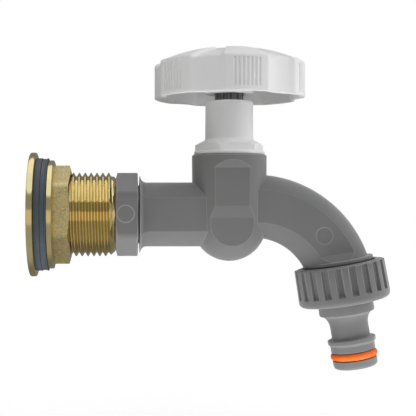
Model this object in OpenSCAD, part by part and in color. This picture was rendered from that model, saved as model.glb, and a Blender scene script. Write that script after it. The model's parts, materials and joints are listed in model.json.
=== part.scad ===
// Garden bib tap: a plastic screw-down tap with a brass tank fitting on its
// inlet and a quick-connect hose nipple on its outlet. Millimetres. X runs along the
// inlet from the tank to the outlet, Z points up, and the origin lies on the
// inlet's axis in the plane where the two gaskets clamp the tank's wall.

/* [Fits] */
// Gap all round between the two halves of a thread
thread_fit = 0.05; // [0.02:0.01:0.2]
// Gap all round a part that slides, turns or drops into a bore
loose_fit = 0.1; // [0.05:0.05:0.3]

/* [Brass tank fitting] */
// Outer diameter of the long brass thread
fitting_d = 30; // [28:0.5:34]
// Pitch of the long brass thread
fitting_pitch = 2.1; // [1.5:0.1:2.6]
// Depth of the long brass thread
fitting_thread_h = 1.05; // [0.6:0.05:1.2]
// Length of the fitting from the wall's plane to its end
fitting_reach = 26; // [24:0.2:34]
// Diameter of the fitting's flange inside the tank
fitting_flange_d = 44.4; // [42:0.2:52]
// Diameter of the brass nut's flange
nut_flange_d = 38.8; // [37.8:0.2:44]
// Thickness of the fitting's flange
tank_flange_t = 2.3; // [2:0.1:4]
// Thickness of the brass nut's flange
nut_flange_t = 2.7; // [2:0.1:4]
// Least wall of the brass nut, at the middle of a flat
brass_nut_wall = 0.6; // [0.5:0.05:1.6]
// Height of the brass nut's hexagon
brass_hex_t = 5.3; // [3.5:0.1:7]
// Turn of the brass nut's hexagon, from flats at front and back
brass_hex_turn = -5.8; // [-30:0.1:30]
// Bevel on the edges of turned brass
brass_edge = 0.5; // [0.2:0.1:0.9]
// Bore of the fitting inside the tank
fitting_bore_d = 18; // [14:0.5:20]

/* [Gaskets] */
// Diameter of both flat gaskets
gasket_d = 40.4; // [38:0.2:42]
// Thickness of both flat gaskets
gasket_t = 2.1; // [1.5:0.1:3]

/* [Inlet thread and lock nut] */
// Outer diameter of the tap's inlet thread
inlet_thread_d = 20.9; // [20:0.1:22]
// Length of the inlet thread inside the brass fitting
inlet_grip = 13.6; // [10:0.1:16]
// Thickness of the lock nut
lock_nut_t = 7.85; // [6:0.05:10]
// Least wall of the lock nut, at the middle of a flat
lock_nut_wall = 2.75; // [2.4:0.05:4]
// Gap between the brass end and the lock nut
lock_nut_gap = 0.1; // [0.05:0.05:0.3]
// Room behind the lock nut, before the tap's shoulder
lock_nut_room = 0.6; // [0.55:0.05:1.5]
// Thickness of the lock nut's seal
inlet_seal_t = 1.6; // [1.2:0.1:2.4]
// Width of the lock nut's seal from bore to rim
inlet_seal_w = 1.5; // [1:0.1:1.8]

/* [Tap body] */
// Diameter of the shoulder behind the lock nut
shoulder_d = 27.4; // [26.6:0.2:32]
// Straight rim of the shoulder, before its hollow
shoulder_rim = 0.3; // [0.2:0.1:1]
// Diameter of the neck between shoulder and valve chamber
neck_d = 23; // [21:0.2:25]
// Distance across the flats of the neck
neck_flat_w = 19.6; // [18:0.2:20.6]
// Rounding where a neck flat meets the shoulder
neck_flat_round = 1.2; // [0.6:0.1:1.8]
// Distance from the shoulder to the valve's axis
neck_l = 32.35; // [28:0.05:45]
// Diameter of the valve chamber at its top
chamber_d = 26.8; // [26.4:0.1:30]
// How much wider the chamber is at its top than at its ball
chamber_draft = 0.32; // [0.1:0.02:0.6]
// Height of the chamber's top over the inlet's axis
chamber_top = 21.5; // [21:0.1:28]
// Depth of the middle of the chamber's round bottom
ball_drop = 3.46; // [2:0.02:5]
// Bevel on the chamber's top edge
chamber_edge = 0.5; // [0.2:0.1:0.8]
// Distance across the two long flats of the chamber
chamber_flat_w = 23.68; // [23.2:0.02:25]
// Distance across the flats of the round bottom
ball_flat_w = 21.6; // [20.8:0.1:23]
// Height where the long flats start
chamber_flat_low = 3; // [1:0.1:6]
// Height of the slope between the two kinds of flat
chamber_flat_slope = 4; // [2:0.1:6]
// Distance from the top of the long flats to the chamber's top
chamber_flat_stop = 4.9; // [3:0.1:7]
// Height over which a long flat runs out
chamber_flat_fade = 2.7; // [1.5:0.1:3.5]

/* [Spout] */
// Diameter of the spout
spout_d = 22.8; // [21:0.1:24.5]
// Distance across the flats of the spout
spout_flat_w = 19.6; // [18:0.2:20.8]
// Height of the spout's start over the inlet's axis
spout_rise = 3; // [1:0.1:5]
// Straight length from the valve's axis to the bend
spout_lead = 8.8; // [6:0.1:14]
// Radius of the spout's bend on its centre line
spout_bend_r = 32; // [28:0.5:40]
// Angle of the bend at the outlet
spout_sweep = 70.3; // [60:0.1:76]
// How far the outlet leans from straight down
outlet_lean = 9.7; // [4:0.1:16]
// How far the outlet lies outside the bend's centre line
outlet_shift = 0.7; // [0:0.05:1]
// Length from the end of a spout flat to the outlet's nut
spout_flat_stop = 4.3; // [3.6:0.1:8]
// Length over which a spout flat runs out
spout_flat_fade = 3.2; // [2:0.1:3.4]
// Diameter of the outlet's collar above the nut
outlet_collar_d = 24.7; // [24:0.1:27]
// Thickness of the outlet's collar
outlet_collar_t = 1; // [0.6:0.1:2]
// Outer diameter of the outlet's thread
outlet_thread_d = 26.4; // [26:0.1:27.5]
// Length of the outlet's thread
outlet_thread_l = 6.7; // [5:0.1:9]
// Gap from the nut's top up to the collar, and down to the thread
outlet_gap = 0.9; // [0.5:0.1:1.5]

/* [Round marks] */
// Diameter of the round moulded mark on each side of the spout
spout_mark_d = 5.94; // [4:0.02:8]
// Angle along the bend where that mark sits
spout_mark_at = 47.8; // [25:0.1:55]
// Diameter of the round moulded mark on the lock nut
nut_mark_d = 6.2; // [4:0.1:6.6]
// Depth of the round marks
mark_depth = 0.2; // [0.1:0.05:0.4]

/* [Waterway] */
// Bore of the inlet
inlet_bore_d = 12.5; // [10:0.1:14]
// Bore of the spout
spout_bore_d = 12.6; // [10:0.1:14]
// Diameter of the two passages beside the valve seat
passage_d = 8; // [6:0.1:8.4]
// Diameter of the hole in the valve seat
seat_bore_d = 10; // [8:0.1:11]
// Width of the valve seat's rim
seat_rim_w = 1.5; // [1:0.1:2]
// Height of the valve seat's rim
seat_rim_h = 0.8; // [0.4:0.1:1.2]
// Height of the floor that carries the valve seat
seat_floor_z = 1; // [0.5:0.1:1.6]
// Thickness of that floor
seat_floor_t = 2.5; // [2:0.1:3]
// Diameter of the room over the valve seat
valve_room_d = 19.6; // [18.4:0.1:20.4]
// Wall of the chamber's round bottom
ball_wall = 5.2; // [3.4:0.1:6]

/* [Bonnet] */
// Outer diameter of the bonnet's thread in the chamber
bonnet_thread_d = 20.9; // [20.7:0.1:22]
// Length of the bonnet's thread in the chamber
bonnet_grip = 9; // [8:0.1:9.4]
// Diameter of the bonnet's collar
bonnet_collar_d = 25.4; // [25:0.1:26.6]
// Thickness of the bonnet's collar
bonnet_collar_t = 1.1; // [0.8:0.1:2]
// Distance across the flats of the bonnet's hexagon
bonnet_hex_w = 22; // [20:0.1:23]
// Height of the bonnet's hexagon, up to the foot of the sleeve
bonnet_hex_t = 4; // [3:0.1:6]
// Height of the bevel over the hexagon
bonnet_hex_bevel = 1.9; // [1:0.1:2.4]
// Turn of the hexagon, from a flat at the front
bonnet_hex_turn = 9.5; // [-30:0.5:30]
// Diameter of the sleeve at its foot
sleeve_d = 17.24; // [16.4:0.02:19]
// How much narrower the sleeve is at its top
sleeve_draft = 0.2; // [0:0.02:0.4]
// Height of the sleeve
sleeve_h = 14; // [13:0.1:20]
// Rounding of the sleeve's top edge
sleeve_edge = 1; // [0.5:0.1:1.4]
// Thickness of the bonnet's seal ring
bonnet_seal_t = 1.3; // [1:0.05:1.5]
// Height of the bonnet's seal over the bonnet's lower end
bonnet_seal_at = 1.7; // [1.4:0.1:3]

/* [Spindle] */
// Outer diameter of the spindle's thread
spindle_thread_d = 13.8; // [12.6:0.1:14.6]
// Length of the spindle's thread
spindle_thread_l = 12; // [8:0.1:12.4]
// Lift of the valve from shut to open
valve_lift = 5; // [3:0.1:5.4]
// Diameter of the spindle's stem and spline
stem_d = 10.3; // [9:0.1:11]
// Number of teeth on the spline
spline_teeth = 12; // [8:1:16]
// Depth of the gaps between the spline's teeth
spline_depth = 0.7; // [0.4:0.05:1]
// Width of the gaps between the spline's teeth
spline_gap = 1.3; // [0.8:0.05:1.6]
// Thickness of each stem ring
stem_ring_t = 1; // [0.8:0.05:1.2]
// Distance between the middles of the two stem rings
stem_ring_step = 3; // [2:0.1:4]
// Height from the top stem ring's middle to the sleeve's top
stem_ring_stop = 3; // [2.4:0.1:4]

/* [Valve] */
// Diameter of the valve's plate
valve_plate_d = 16; // [14.6:0.1:17]
// Thickness of the valve's plate
valve_plate_t = 2; // [1.5:0.1:2.4]
// Diameter of the rubber washer on the seat
valve_washer_d = 15.6; // [14:0.1:16]
// Thickness of the rubber washer on the seat
valve_washer_t = 2.8; // [2:0.1:3.2]
// Diameter of the valve's hub, which the spindle pushes
valve_hub_d = 8; // [7:0.1:9]
// Diameter of the valve's pin inside the spindle
valve_pin_d = 5; // [3.5:0.1:6]
// Length of the valve's pin inside the spindle
valve_pin_l = 6; // [4:0.1:9]
// Diameter of the washer screw's head
washer_screw_head_d = 6; // [5:0.1:7]
// Diameter of the washer screw's shank
washer_screw_d = 3; // [2.5:0.1:3.2]
// Length of the washer screw's shank
washer_screw_l = 7; // [5:0.1:9]

/* [Handwheel] */
// Diameter of the handwheel over its lobes
wheel_d = 54; // [48:0.5:66]
// Number of lobes on the handwheel
wheel_lobes = 6; // [5:1:8]
// Share of the rim that the lobes take
lobe_share = 0.55; // [0.4:0.01:0.7]
// Depth of the hollows between the lobes
scallop_depth = 2.2; // [1:0.1:3]
// Turn of the lobes
wheel_turn = 37; // [0:1:60]
// Height of the rim from its lower edge to the crown of the lobes
wheel_h = 18.3; // [17.8:0.1:24]
// Distance from the sleeve's top to the rim's lower edge
wheel_gap = 1; // [0.6:0.1:3]
// Radius of the handwheel's domed top
dome_r = 64; // [60:1:90]
// Height of the raised petals over the dome between them
petal_step = 1; // [0.4:0.1:1.4]
// Half angle of a raised petal
petal_half = 18.5; // [12:0.5:20]
// Wall of the handwheel's rim
rim_wall = 2; // [1.6:0.1:3]
// Wall of the handwheel's roof
roof_wall = 2.2; // [1.6:0.1:3]
// Bevel on the rim's upper edge
rim_edge = 1.2; // [0.6:0.1:2]
// Number of grip gaps on each lobe
lobe_gaps = 7; // [3:2:9]
// Angle from one grip gap to the next
lobe_gap_step = 3.05; // [2.6:0.05:3.4]
// Width of each grip gap
lobe_gap_w = 0.65; // [0.4:0.05:0.8]
// Depth of each grip gap
lobe_gap_h = 0.35; // [0.2:0.05:0.6]
// Height from the rim's lower edge to the grip gaps
lobe_gap_rise = 2; // [1:0.1:3]
// Length of the grip gaps
lobe_gap_l = 9; // [5:0.1:9.2]
// Diameter of the hub
hub_d = 17.4; // [15:0.1:19]
// Distance from the rim's lower edge up to the hub
hub_rise = 1.7; // [1:0.1:4]
// Length of the spline inside the hub
hub_socket = 8.7; // [7:0.1:10]
// Diameter of the cap over the handwheel's screw
cap_d = 19.6; // [16:0.1:22]
// Thickness of that cap at its edge
cap_t = 1.8; // [1.4:0.1:2.2]
// Diameter of the handwheel screw's head
wheel_screw_head_d = 9; // [8:0.1:10]
// Height of the handwheel screw's head
wheel_screw_head_t = 2.4; // [2:0.1:3]
// Diameter of the handwheel screw's shank
wheel_screw_d = 4.8; // [4:0.1:5.4]
// Length of the handwheel screw's shank
wheel_screw_l = 11; // [8:0.1:13]

/* [Coupling nut] */
// Diameter of the nut at its top
coupling_top_d = 32.2; // [31.4:0.1:35]
// Diameter of the nut at its lower end
coupling_low_d = 32.7; // [32.2:0.1:35.4]
// Height of the nut
coupling_h = 14.1; // [13.5:0.1:18]
// Rounding of the nut's lower edge
coupling_round = 1.8; // [0.8:0.1:2]
// Thickness of the nut's inner flange
coupling_floor = 2.8; // [2:0.1:3.2]
// Number of grip grooves
coupling_grooves = 21; // [15:1:25]
// Width of each grip groove
coupling_groove_w = 2.4; // [1.6:0.1:3]
// Depth of each grip groove
coupling_groove_h = 1.1; // [0.6:0.1:1.3]
// Length of the grip grooves
coupling_groove_l = 10.4; // [7:0.1:11.4]

/* [Hose nipple] */
// Diameter of the nipple's collar
nipple_collar_d = 19.7; // [18.6:0.1:21]
// Thickness of the nipple's flange inside the nut
nipple_flange_t = 1.9; // [1.4:0.1:2.4]
// Distance from the nut's top down to the collar's lower edge
nipple_collar_l = 17.6; // [16:0.1:21]
// Thickness of the flat outlet washer
outlet_washer_t = 1.7; // [1.2:0.1:2.4]
// Diameter of the nipple's nose, which a hose connector takes
nose_d = 15.8; // [15.6:0.05:16]
// Diameter of the nipple's waist
waist_d = 13.6; // [13:0.1:14.4]
// Diameter of the catch that a hose connector grips
catch_d = 17.14; // [16.8:0.02:17.4]
// Distance from the collar's lower edge to the catch's upper edge
catch_at = 9.2; // [7:0.1:11]
// Length of the catch
catch_l = 2.5; // [1.8:0.1:3]
// Length of the nose below the catch
nose_l = 8; // [7.6:0.1:10]
// Rounding of the nose's end
nose_round = 1.4; // [0.6:0.1:1.8]
// Bore of the nipple
nipple_bore_d = 10; // [8:0.1:10.4]
// Thickness of the nipple's ring
nipple_ring_t = 2.6; // [2.2:0.05:2.7]
// Diameter over the nipple's ring
nipple_ring_d = 16.8; // [16.5:0.05:17]
// Distance from the ring's middle to the nose's end
nipple_ring_at = 4.2; // [3.4:0.1:5]

/* [Hidden] */
$fn = 64;
// Facets round the wide dome of the handwheel
dome_fn = 256;
// A cut runs this far past the face that it opens
over = 1;
// Length of a cutter that is longer than the whole part
far = 200;

brass_color = "#c8a850";
body_color = "#6f6f70";
head_color = "#c6c6c6";
nut_color = "#7e7e7f";
rubber_color = "#3c444c";
ring_color = "#ff7323";
steel_color = "#b4b6b8";

// Inlet: places along X
fitting_x = -gasket_t - tank_flange_t;
spigot_x = fitting_reach - inlet_grip;
lock_nut_x = fitting_reach + lock_nut_gap;
shoulder_x = lock_nut_x + lock_nut_t + lock_nut_room;
valve_x = shoulder_x + neck_l;
brass_hex_w = fitting_d + 2 * thread_fit + 2 * brass_nut_wall;
lock_hex_w = inlet_thread_d + 2 * thread_fit + 2 * lock_nut_wall;
inlet_thread_end = 0.9;
shoulder_round = (shoulder_d - neck_d) / 2;
// The thread's first valley lies this share of a pitch from its end
thread_start = 0.43;
thread_crest = 0.2;
// Overlap of shapes that are joined or would share an edge
join = 0.01;
// Slope of the bevel on the nuts' hexagons
hex_bevel_slope = 15;
// Width of the line round the lock nut's mark
mark_line = 0.5;
// Width of the hexagon's flat top round the sleeve's foot
sleeve_lip = 0.1;

// Chamber and waterway: heights
ball_r = chamber_d / 2 - chamber_draft / 2;
chamber_flat_high = chamber_top - chamber_flat_stop;
seat_z = seat_floor_z + seat_rim_h;
seat_under_z = seat_floor_z - seat_floor_t;
bonnet_foot_z = chamber_top - bonnet_grip;
thread_room = 0.5;
low_passage_z = seat_under_z - passage_d / 2;
high_passage_z = spout_rise + spout_bore_d / 2 - passage_d / 2;
// How far the inlet's bore reaches into the chamber's wall, and how far the passage reaches back
inlet_bore_tip = 0.5;
passage_lead = 6;

// Outlet: its centre, where the coupling nut's top lies
outlet_x = valve_x + spout_lead + spout_bend_r * sin(spout_sweep) + outlet_shift * cos(outlet_lean);
outlet_z = spout_rise - spout_bend_r * (1 - cos(spout_sweep)) + outlet_shift * sin(outlet_lean);
outlet_thread_end = outlet_gap + outlet_thread_l;
// The bend goes on past the outlet by this angle, and the collar covers it
spout_extra = 6;

// Valve and spindle: heights with the valve shut
plate_z = seat_z + valve_washer_t;
spindle_z = bonnet_foot_z + thread_room;
stem_z = spindle_z + spindle_thread_l;
collar_z = chamber_top + bonnet_collar_t;
sleeve_z = collar_z + bonnet_hex_t;
sleeve_top = sleeve_z + sleeve_h;
spindle_bore_top = stem_z + valve_lift + thread_room;
stem_ring_z = sleeve_top - stem_ring_stop;
rim_z = sleeve_top + wheel_gap;
hub_z = rim_z + hub_rise;
socket_top = hub_z + hub_socket;
crown_z = rim_z + wheel_h;
dome_z = crown_z - dome_r;
cap_z = crown_z - petal_step - cap_t;
screw_seat_z = cap_z - wheel_screw_head_t - loose_fit;

// Screw heads
screw_edge = 0.4;
slot_w = 0.8;
slot_h = 0.7;
cross_slot_w = 1.2;
cross_slot_h = 1.4;
washer_screw_head_t = seat_rim_h + 1;

// Rim hollows: circles that pass through the lobes' edges and the hollow's floor
hollow_half = (1 - lobe_share) * 180 / wheel_lobes;
hollow_chord = wheel_d / 2 * sin(hollow_half);
hollow_sag = scallop_depth - wheel_d / 2 * (1 - cos(hollow_half));
scallop_r = (hollow_chord * hollow_chord + hollow_sag * hollow_sag) / (2 * hollow_sag);
scallop_at = wheel_d / 2 - scallop_depth + scallop_r;

// Nut and nipple: lengths down from the outlet
nut_floor_at = coupling_h - coupling_floor;
nipple_top = outlet_thread_end + outlet_washer_t;
nipple_flange_d = outlet_thread_d - 6 * loose_fit;
nipple_hole_d = nipple_collar_d + 3 * loose_fit;
catch_top = nipple_collar_l + catch_at;
nose_top = catch_top + catch_l;
nose_end = nose_top + nose_l;
ring_mid = nose_end - nipple_ring_at;
collar_round = (nipple_collar_d - waist_d) / 2;
ring_groove_d = nipple_ring_d - 2 * nipple_ring_t;
ring_room = 0.25;

// Shapes that several pieces use

// Lays what is drawn along Z along the inlet's axis
module along_x(from = 0) {
    translate([from, 0, 0]) rotate([0, 90, 0]) children();
}

// Places what is drawn along Z on the outlet's axis, pointing out of the spout
module at_outlet(from = 0) {
    translate([outlet_x, 0, outlet_z]) rotate([0, 180 - outlet_lean, 0]) translate([0, 0, from]) children();
}

// Places what is drawn on the valve's axis
module at_valve(z = 0) {
    translate([valve_x, 0, z]) children();
}

// Washer, sleeve or any plain ring
module ring(d, hole, h) {
    difference() {
        cylinder(d = d, h = h);
        translate([0, 0, -over]) cylinder(d = hole, h = h + 2 * over);
    }
}

// Disc with both rims bevelled
module bevelled_disc(d, h, edge) {
    rotate_extrude() polygon([
        [0, 0], [d / 2 - edge, 0], [d / 2, edge], [d / 2, h - edge], [d / 2 - edge, h], [0, h]
    ]);
}

// Round seal ring, given by the diameter of its middle line
module seal_ring(mid_d, t) {
    rotate_extrude() translate([mid_d / 2, 0]) circle(d = t);
}

// Hexagon block with the corners of its lower or upper end turned off
module hex_block(w, h, low = false, high = false) {
    corner = w / sqrt(3) + join;
    bevel = (corner - w / 2) * tan(hex_bevel_slope);
    below = low ? [[w / 2, 0], [corner, bevel]] : [[corner, 0]];
    above = high ? [[corner, h - bevel], [w / 2, h]] : [[corner, h]];
    intersection() {
        cylinder(d = w / cos(30), h = h, $fn = 6);
        rotate_extrude() polygon(concat([[0, 0]], below, above, [[0, h]]));
    }
}

// Cuts both sides of a piece back to a profile of half width against height
module side_cuts(profile, length) {
    for (side = [0, 1]) mirror([0, side, 0])
        rotate([90, 0, 90]) linear_extrude(length, center = true) polygon(profile);
}

// Spline: a round bar with gaps cut along it, or the bore that fits over it
module spline(fit = 0) {
    difference() {
        circle(d = stem_d + 2 * fit);
        for (k = [0 : spline_teeth - 1]) rotate(k * 360 / spline_teeth)
            translate([stem_d / 2 - spline_depth + fit, -spline_gap / 2 + fit])
                square([spline_depth + over, spline_gap - 2 * fit]);
    }
}

// Inlet side

module tank_fitting() {
    r = fitting_d / 2;
    flank = (fitting_pitch - thread_crest) / 2;
    valleys = floor(fitting_reach / fitting_pitch);
    grooves = [
        for (k = [valleys - 1 : -1 : 0])
            let (z = fitting_reach - (thread_start + k) * fitting_pitch)
                each [[r, z - flank], [r - fitting_thread_h, z], [r, z + flank]]
    ];
    color(brass_color) along_x() difference() {
        union() {
            translate([0, 0, fitting_x]) bevelled_disc(fitting_flange_d, tank_flange_t, brass_edge);
            rotate_extrude() polygon(concat(
                [[0, fitting_x + brass_edge], [r, fitting_x + brass_edge]],
                grooves,
                [[r - fitting_thread_h / 2, fitting_reach], [0, fitting_reach]]
            ));
        }
        translate([0, 0, fitting_x - over]) cylinder(d = fitting_bore_d, h = far);
        translate([0, 0, spigot_x - inlet_thread_end])
            cylinder(d = inlet_thread_d + 2 * thread_fit, h = far);
    }
}

module gasket() {
    ring(gasket_d, fitting_d + 2 * loose_fit, gasket_t);
}

module inner_gasket() {
    color(rubber_color) along_x(-gasket_t) gasket();
}

module outer_gasket() {
    color(rubber_color) along_x() gasket();
}

module flange_nut() {
    color(brass_color) along_x(gasket_t) difference() {
        union() {
            bevelled_disc(nut_flange_d, nut_flange_t, brass_edge);
            translate([0, 0, nut_flange_t - brass_edge]) rotate(brass_hex_turn)
                hex_block(brass_hex_w, brass_hex_t + brass_edge, high = true);
        }
        translate([0, 0, -over]) cylinder(d = fitting_d + 2 * thread_fit, h = far);
    }
}

module lock_nut() {
    seal_room_d = inlet_thread_d + 2 * thread_fit + 2 * inlet_seal_w + 2 * loose_fit;
    color(nut_color) difference() {
        along_x(lock_nut_x) difference() {
            hex_block(lock_hex_w, lock_nut_t, low = true);
            translate([0, 0, -over]) cylinder(d = inlet_thread_d + 2 * thread_fit, h = far);
            translate([0, 0, -over]) cylinder(d = seal_room_d, h = over + inlet_seal_t - lock_nut_gap);
        }
        // Round moulded mark on the front flat
        translate([lock_nut_x + lock_nut_t / 2, -lock_hex_w / 2 + mark_depth, 0]) rotate([90, 0, 0])
            ring(nut_mark_d, nut_mark_d - 2 * mark_line, over);
    }
}

module inlet_seal() {
    hole = inlet_thread_d + 2 * thread_fit;
    color(rubber_color) along_x(fitting_reach) ring(hole + 2 * inlet_seal_w, hole, inlet_seal_t);
}

// Tap body

// Half section of the shoulder and neck, drawn up from the shoulder's face
module neck_profile() {
    square([neck_d / 2, neck_l]);
    difference() {
        square([shoulder_d / 2, shoulder_rim + shoulder_round]);
        translate([shoulder_d / 2, shoulder_rim + shoulder_round]) circle(r = shoulder_round);
    }
}

// Plan of the cut that makes a neck flat, with a round corner at the shoulder
module neck_flat_plan() {
    start = shoulder_rim + neck_flat_round;
    translate([start, neck_flat_w / 2]) square([neck_l - start, shoulder_d]);
    translate([shoulder_rim, neck_flat_w / 2 + neck_flat_round]) square([neck_l, shoulder_d]);
    translate([start, neck_flat_w / 2 + neck_flat_round]) circle(r = neck_flat_round);
}

module inlet_neck() {
    difference() {
        union() {
            along_x(shoulder_x) rotate_extrude() neck_profile();
            along_x(spigot_x) rotate_extrude() polygon([
                [0, 0], [inlet_thread_d / 2 - inlet_thread_end, 0],
                [inlet_thread_d / 2, inlet_thread_end],
                [inlet_thread_d / 2, shoulder_x - spigot_x + over], [0, shoulder_x - spigot_x + over]
            ]);
        }
        for (side = [0, 1]) mirror([0, side, 0]) translate([shoulder_x, 0, 0])
            linear_extrude(shoulder_d + over, center = true) neck_flat_plan();
    }
}

module valve_chamber() {
    r = chamber_d / 2;
    fade = r - chamber_flat_w / 2;
    difference() {
        at_valve() {
            translate([0, 0, -ball_drop]) sphere(r = ball_r);
            rotate_extrude() polygon([
                [0, -ball_drop], [ball_r, -ball_drop], [r, chamber_top - chamber_edge],
                [r - chamber_edge, chamber_top], [0, chamber_top]
            ]);
        }
        at_valve() side_cuts([
            [ball_flat_w / 2, -far], [ball_flat_w / 2, chamber_flat_low - chamber_flat_slope],
            [chamber_flat_w / 2, chamber_flat_low], [chamber_flat_w / 2, chamber_flat_high],
            [r + fade, chamber_flat_high + 2 * chamber_flat_fade], [r + fade, -far]
        ], 2 * r);
    }
}

// The spout's way: straight out of the chamber, then round the bend
module spout_run(d, lead, extra) {
    translate([valve_x + spout_lead - lead, 0, spout_rise]) rotate([0, 90, 0]) cylinder(d = d, h = lead);
    translate([valve_x + spout_lead, 0, spout_rise - spout_bend_r]) rotate([90, 0, 0])
        rotate([0, 0, 90 - spout_sweep - extra]) rotate_extrude(angle = spout_sweep + extra)
            translate([spout_bend_r, 0]) circle(d = d);
}

module spout() {
    fade = spout_d / 2 - spout_flat_w / 2;
    difference() {
        spout_run(spout_d, spout_lead, spout_extra);
        at_outlet(-outlet_gap) translate([-far / 2, -far / 2, 0]) cube([far, far, far / 2]);
        at_outlet() side_cuts([
            [spout_flat_w / 2, -far], [spout_flat_w / 2, -spout_flat_stop],
            [spout_d / 2 + fade, -spout_flat_stop + 2 * spout_flat_fade], [spout_d / 2 + fade, -far]
        ], far);
        // Round moulded mark on both flats
        for (side = [-1, 1]) translate([
            valve_x + spout_lead + spout_bend_r * sin(spout_mark_at),
            side * (spout_flat_w / 2 + over / 2 - mark_depth),
            spout_rise - spout_bend_r * (1 - cos(spout_mark_at))
        ]) rotate([90, 0, 0]) cylinder(d = spout_mark_d, h = over, center = true);
    }
}

module outlet_stub() {
    collar_at = -outlet_gap - outlet_collar_t;
    at_outlet(collar_at) cylinder(d = outlet_collar_d, h = outlet_collar_t);
    at_outlet(collar_at) cylinder(d = spout_d, h = outlet_gap - collar_at + over);
    at_outlet(outlet_gap) rotate_extrude() polygon([
        [0, 0], [outlet_thread_d / 2, 0], [outlet_thread_d / 2, outlet_thread_l - outlet_gap],
        [outlet_thread_d / 2 - outlet_gap, outlet_thread_l], [0, outlet_thread_l]
    ]);
}

// Everything that the water runs through, and the bonnet's thread
module waterway() {
    inlet_stop = valve_x - chamber_d / 2 + inlet_bore_tip;
    along_x(spigot_x - over) cylinder(d = inlet_bore_d, h = inlet_stop - spigot_x + over);
    along_x(inlet_stop - passage_lead) translate([-low_passage_z, 0, 0])
        cylinder(d = passage_d, h = valve_x - inlet_stop + passage_lead);
    at_valve() intersection() {
        translate([0, 0, -ball_drop]) sphere(r = ball_r - ball_wall);
        translate([-far / 2, -far / 2, seat_under_z - far]) cube(far);
    }
    at_valve(seat_under_z - over) cylinder(d = seat_bore_d, h = far);
    at_valve(seat_floor_z) difference() {
        cylinder(d = valve_room_d, h = far);
        translate([0, 0, -over]) cylinder(d = seat_bore_d + 2 * seat_rim_w, h = seat_rim_h + over);
    }
    at_valve(bonnet_foot_z - thread_room) cylinder(d = bonnet_thread_d + 2 * thread_fit, h = far);
    along_x(valve_x) translate([-high_passage_z, 0, 0]) cylinder(d = passage_d, h = spout_lead + over);
    spout_run(spout_bore_d, join, 0);
    at_outlet(-over) cylinder(d = spout_bore_d, h = far);
}

module tap_body() {
    color(body_color) difference() {
        union() {
            inlet_neck();
            valve_chamber();
            spout();
            outlet_stub();
        }
        waterway();
    }
}

// Bonnet, spindle and valve

module bonnet_profile() {
    foot_r = sleeve_d / 2;
    top_r = foot_r - sleeve_draft / 2;
    difference() {
        union() {
            square([bonnet_thread_d / 2, bonnet_grip]);
            translate([0, bonnet_grip]) square([bonnet_collar_d / 2, bonnet_collar_t]);
            translate([0, bonnet_grip]) polygon([
                [0, 0], [foot_r, 0], [foot_r, bonnet_collar_t + bonnet_hex_t],
                [top_r, sleeve_top - chamber_top - sleeve_edge],
                [top_r - sleeve_edge, sleeve_top - chamber_top - sleeve_edge],
                [top_r - sleeve_edge, sleeve_top - chamber_top], [0, sleeve_top - chamber_top]
            ]);
            translate([top_r - sleeve_edge, sleeve_top - bonnet_foot_z - sleeve_edge])
                circle(r = sleeve_edge);
        }
        translate([-far / 2, -far / 2]) square([far / 2, far]);
        translate([bonnet_thread_d / 2 - bonnet_seal_t, bonnet_seal_at - bonnet_seal_t / 2 - loose_fit])
            square([far, bonnet_seal_t + 2 * loose_fit]);
    }
}

// Hexagon over the collar, turned down to the foot of the sleeve
module bonnet_hexagon() {
    corner = bonnet_hex_w / sqrt(3) + join;
    intersection() {
        rotate(bonnet_hex_turn - 60)
            cylinder(d = bonnet_hex_w / cos(30), h = bonnet_hex_t - 5 * join, $fn = 6);
        rotate_extrude() polygon([
            [0, 0], [corner, 0], [corner, bonnet_hex_t - bonnet_hex_bevel],
            [sleeve_d / 2 + sleeve_lip, bonnet_hex_t], [0, bonnet_hex_t]
        ]);
    }
}

module bonnet() {
    color(head_color) at_valve() difference() {
        union() {
            translate([0, 0, bonnet_foot_z]) rotate_extrude() bonnet_profile();
            translate([0, 0, collar_z]) bonnet_hexagon();
        }
        translate([0, 0, bonnet_foot_z - over]) cylinder(
            d = spindle_thread_d + 2 * thread_fit, h = spindle_bore_top - bonnet_foot_z + over
        );
        cylinder(d = stem_d + 2 * loose_fit, h = far);
        for (k = [0, 1]) translate([0, 0, stem_ring_z - k * stem_ring_step - stem_ring_t / 2 - loose_fit])
            cylinder(d = stem_d + 2 * stem_ring_t + 2 * loose_fit, h = stem_ring_t + 2 * loose_fit);
    }
}

module bonnet_seal() {
    color(rubber_color) at_valve(bonnet_foot_z + bonnet_seal_at)
        seal_ring(bonnet_thread_d - bonnet_seal_t, bonnet_seal_t);
}

module stem_rings() {
    color(rubber_color) for (k = [0, 1]) at_valve(stem_ring_z - k * stem_ring_step)
        seal_ring(stem_d + stem_ring_t + loose_fit, stem_ring_t);
}

module spindle() {
    color(body_color) at_valve() difference() {
        union() {
            translate([0, 0, spindle_z]) cylinder(d = spindle_thread_d, h = spindle_thread_l);
            translate([0, 0, stem_z]) cylinder(d = stem_d, h = sleeve_top - stem_z);
            translate([0, 0, sleeve_top]) linear_extrude(socket_top - sleeve_top) spline();
        }
        translate([0, 0, spindle_z - over])
            cylinder(d = valve_pin_d + 2 * loose_fit, h = valve_pin_l + over + thread_room);
        translate([0, 0, screw_seat_z - wheel_screw_l - thread_room])
            cylinder(d = wheel_screw_d + 2 * thread_fit, h = far);
    }
}

module valve_disc() {
    color(brass_color) at_valve() difference() {
        union() {
            translate([0, 0, plate_z]) cylinder(d = valve_plate_d, h = valve_plate_t);
            translate([0, 0, plate_z]) cylinder(d = valve_hub_d, h = spindle_z - plate_z);
            translate([0, 0, plate_z]) cylinder(d = valve_pin_d, h = spindle_z - plate_z + valve_pin_l);
        }
        translate([0, 0, seat_z])
            cylinder(d = washer_screw_d + 2 * thread_fit, h = washer_screw_l + thread_room);
    }
}

module valve_washer() {
    color(rubber_color) at_valve(seat_z) ring(valve_washer_d, washer_screw_d + 2 * loose_fit, valve_washer_t);
}

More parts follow.
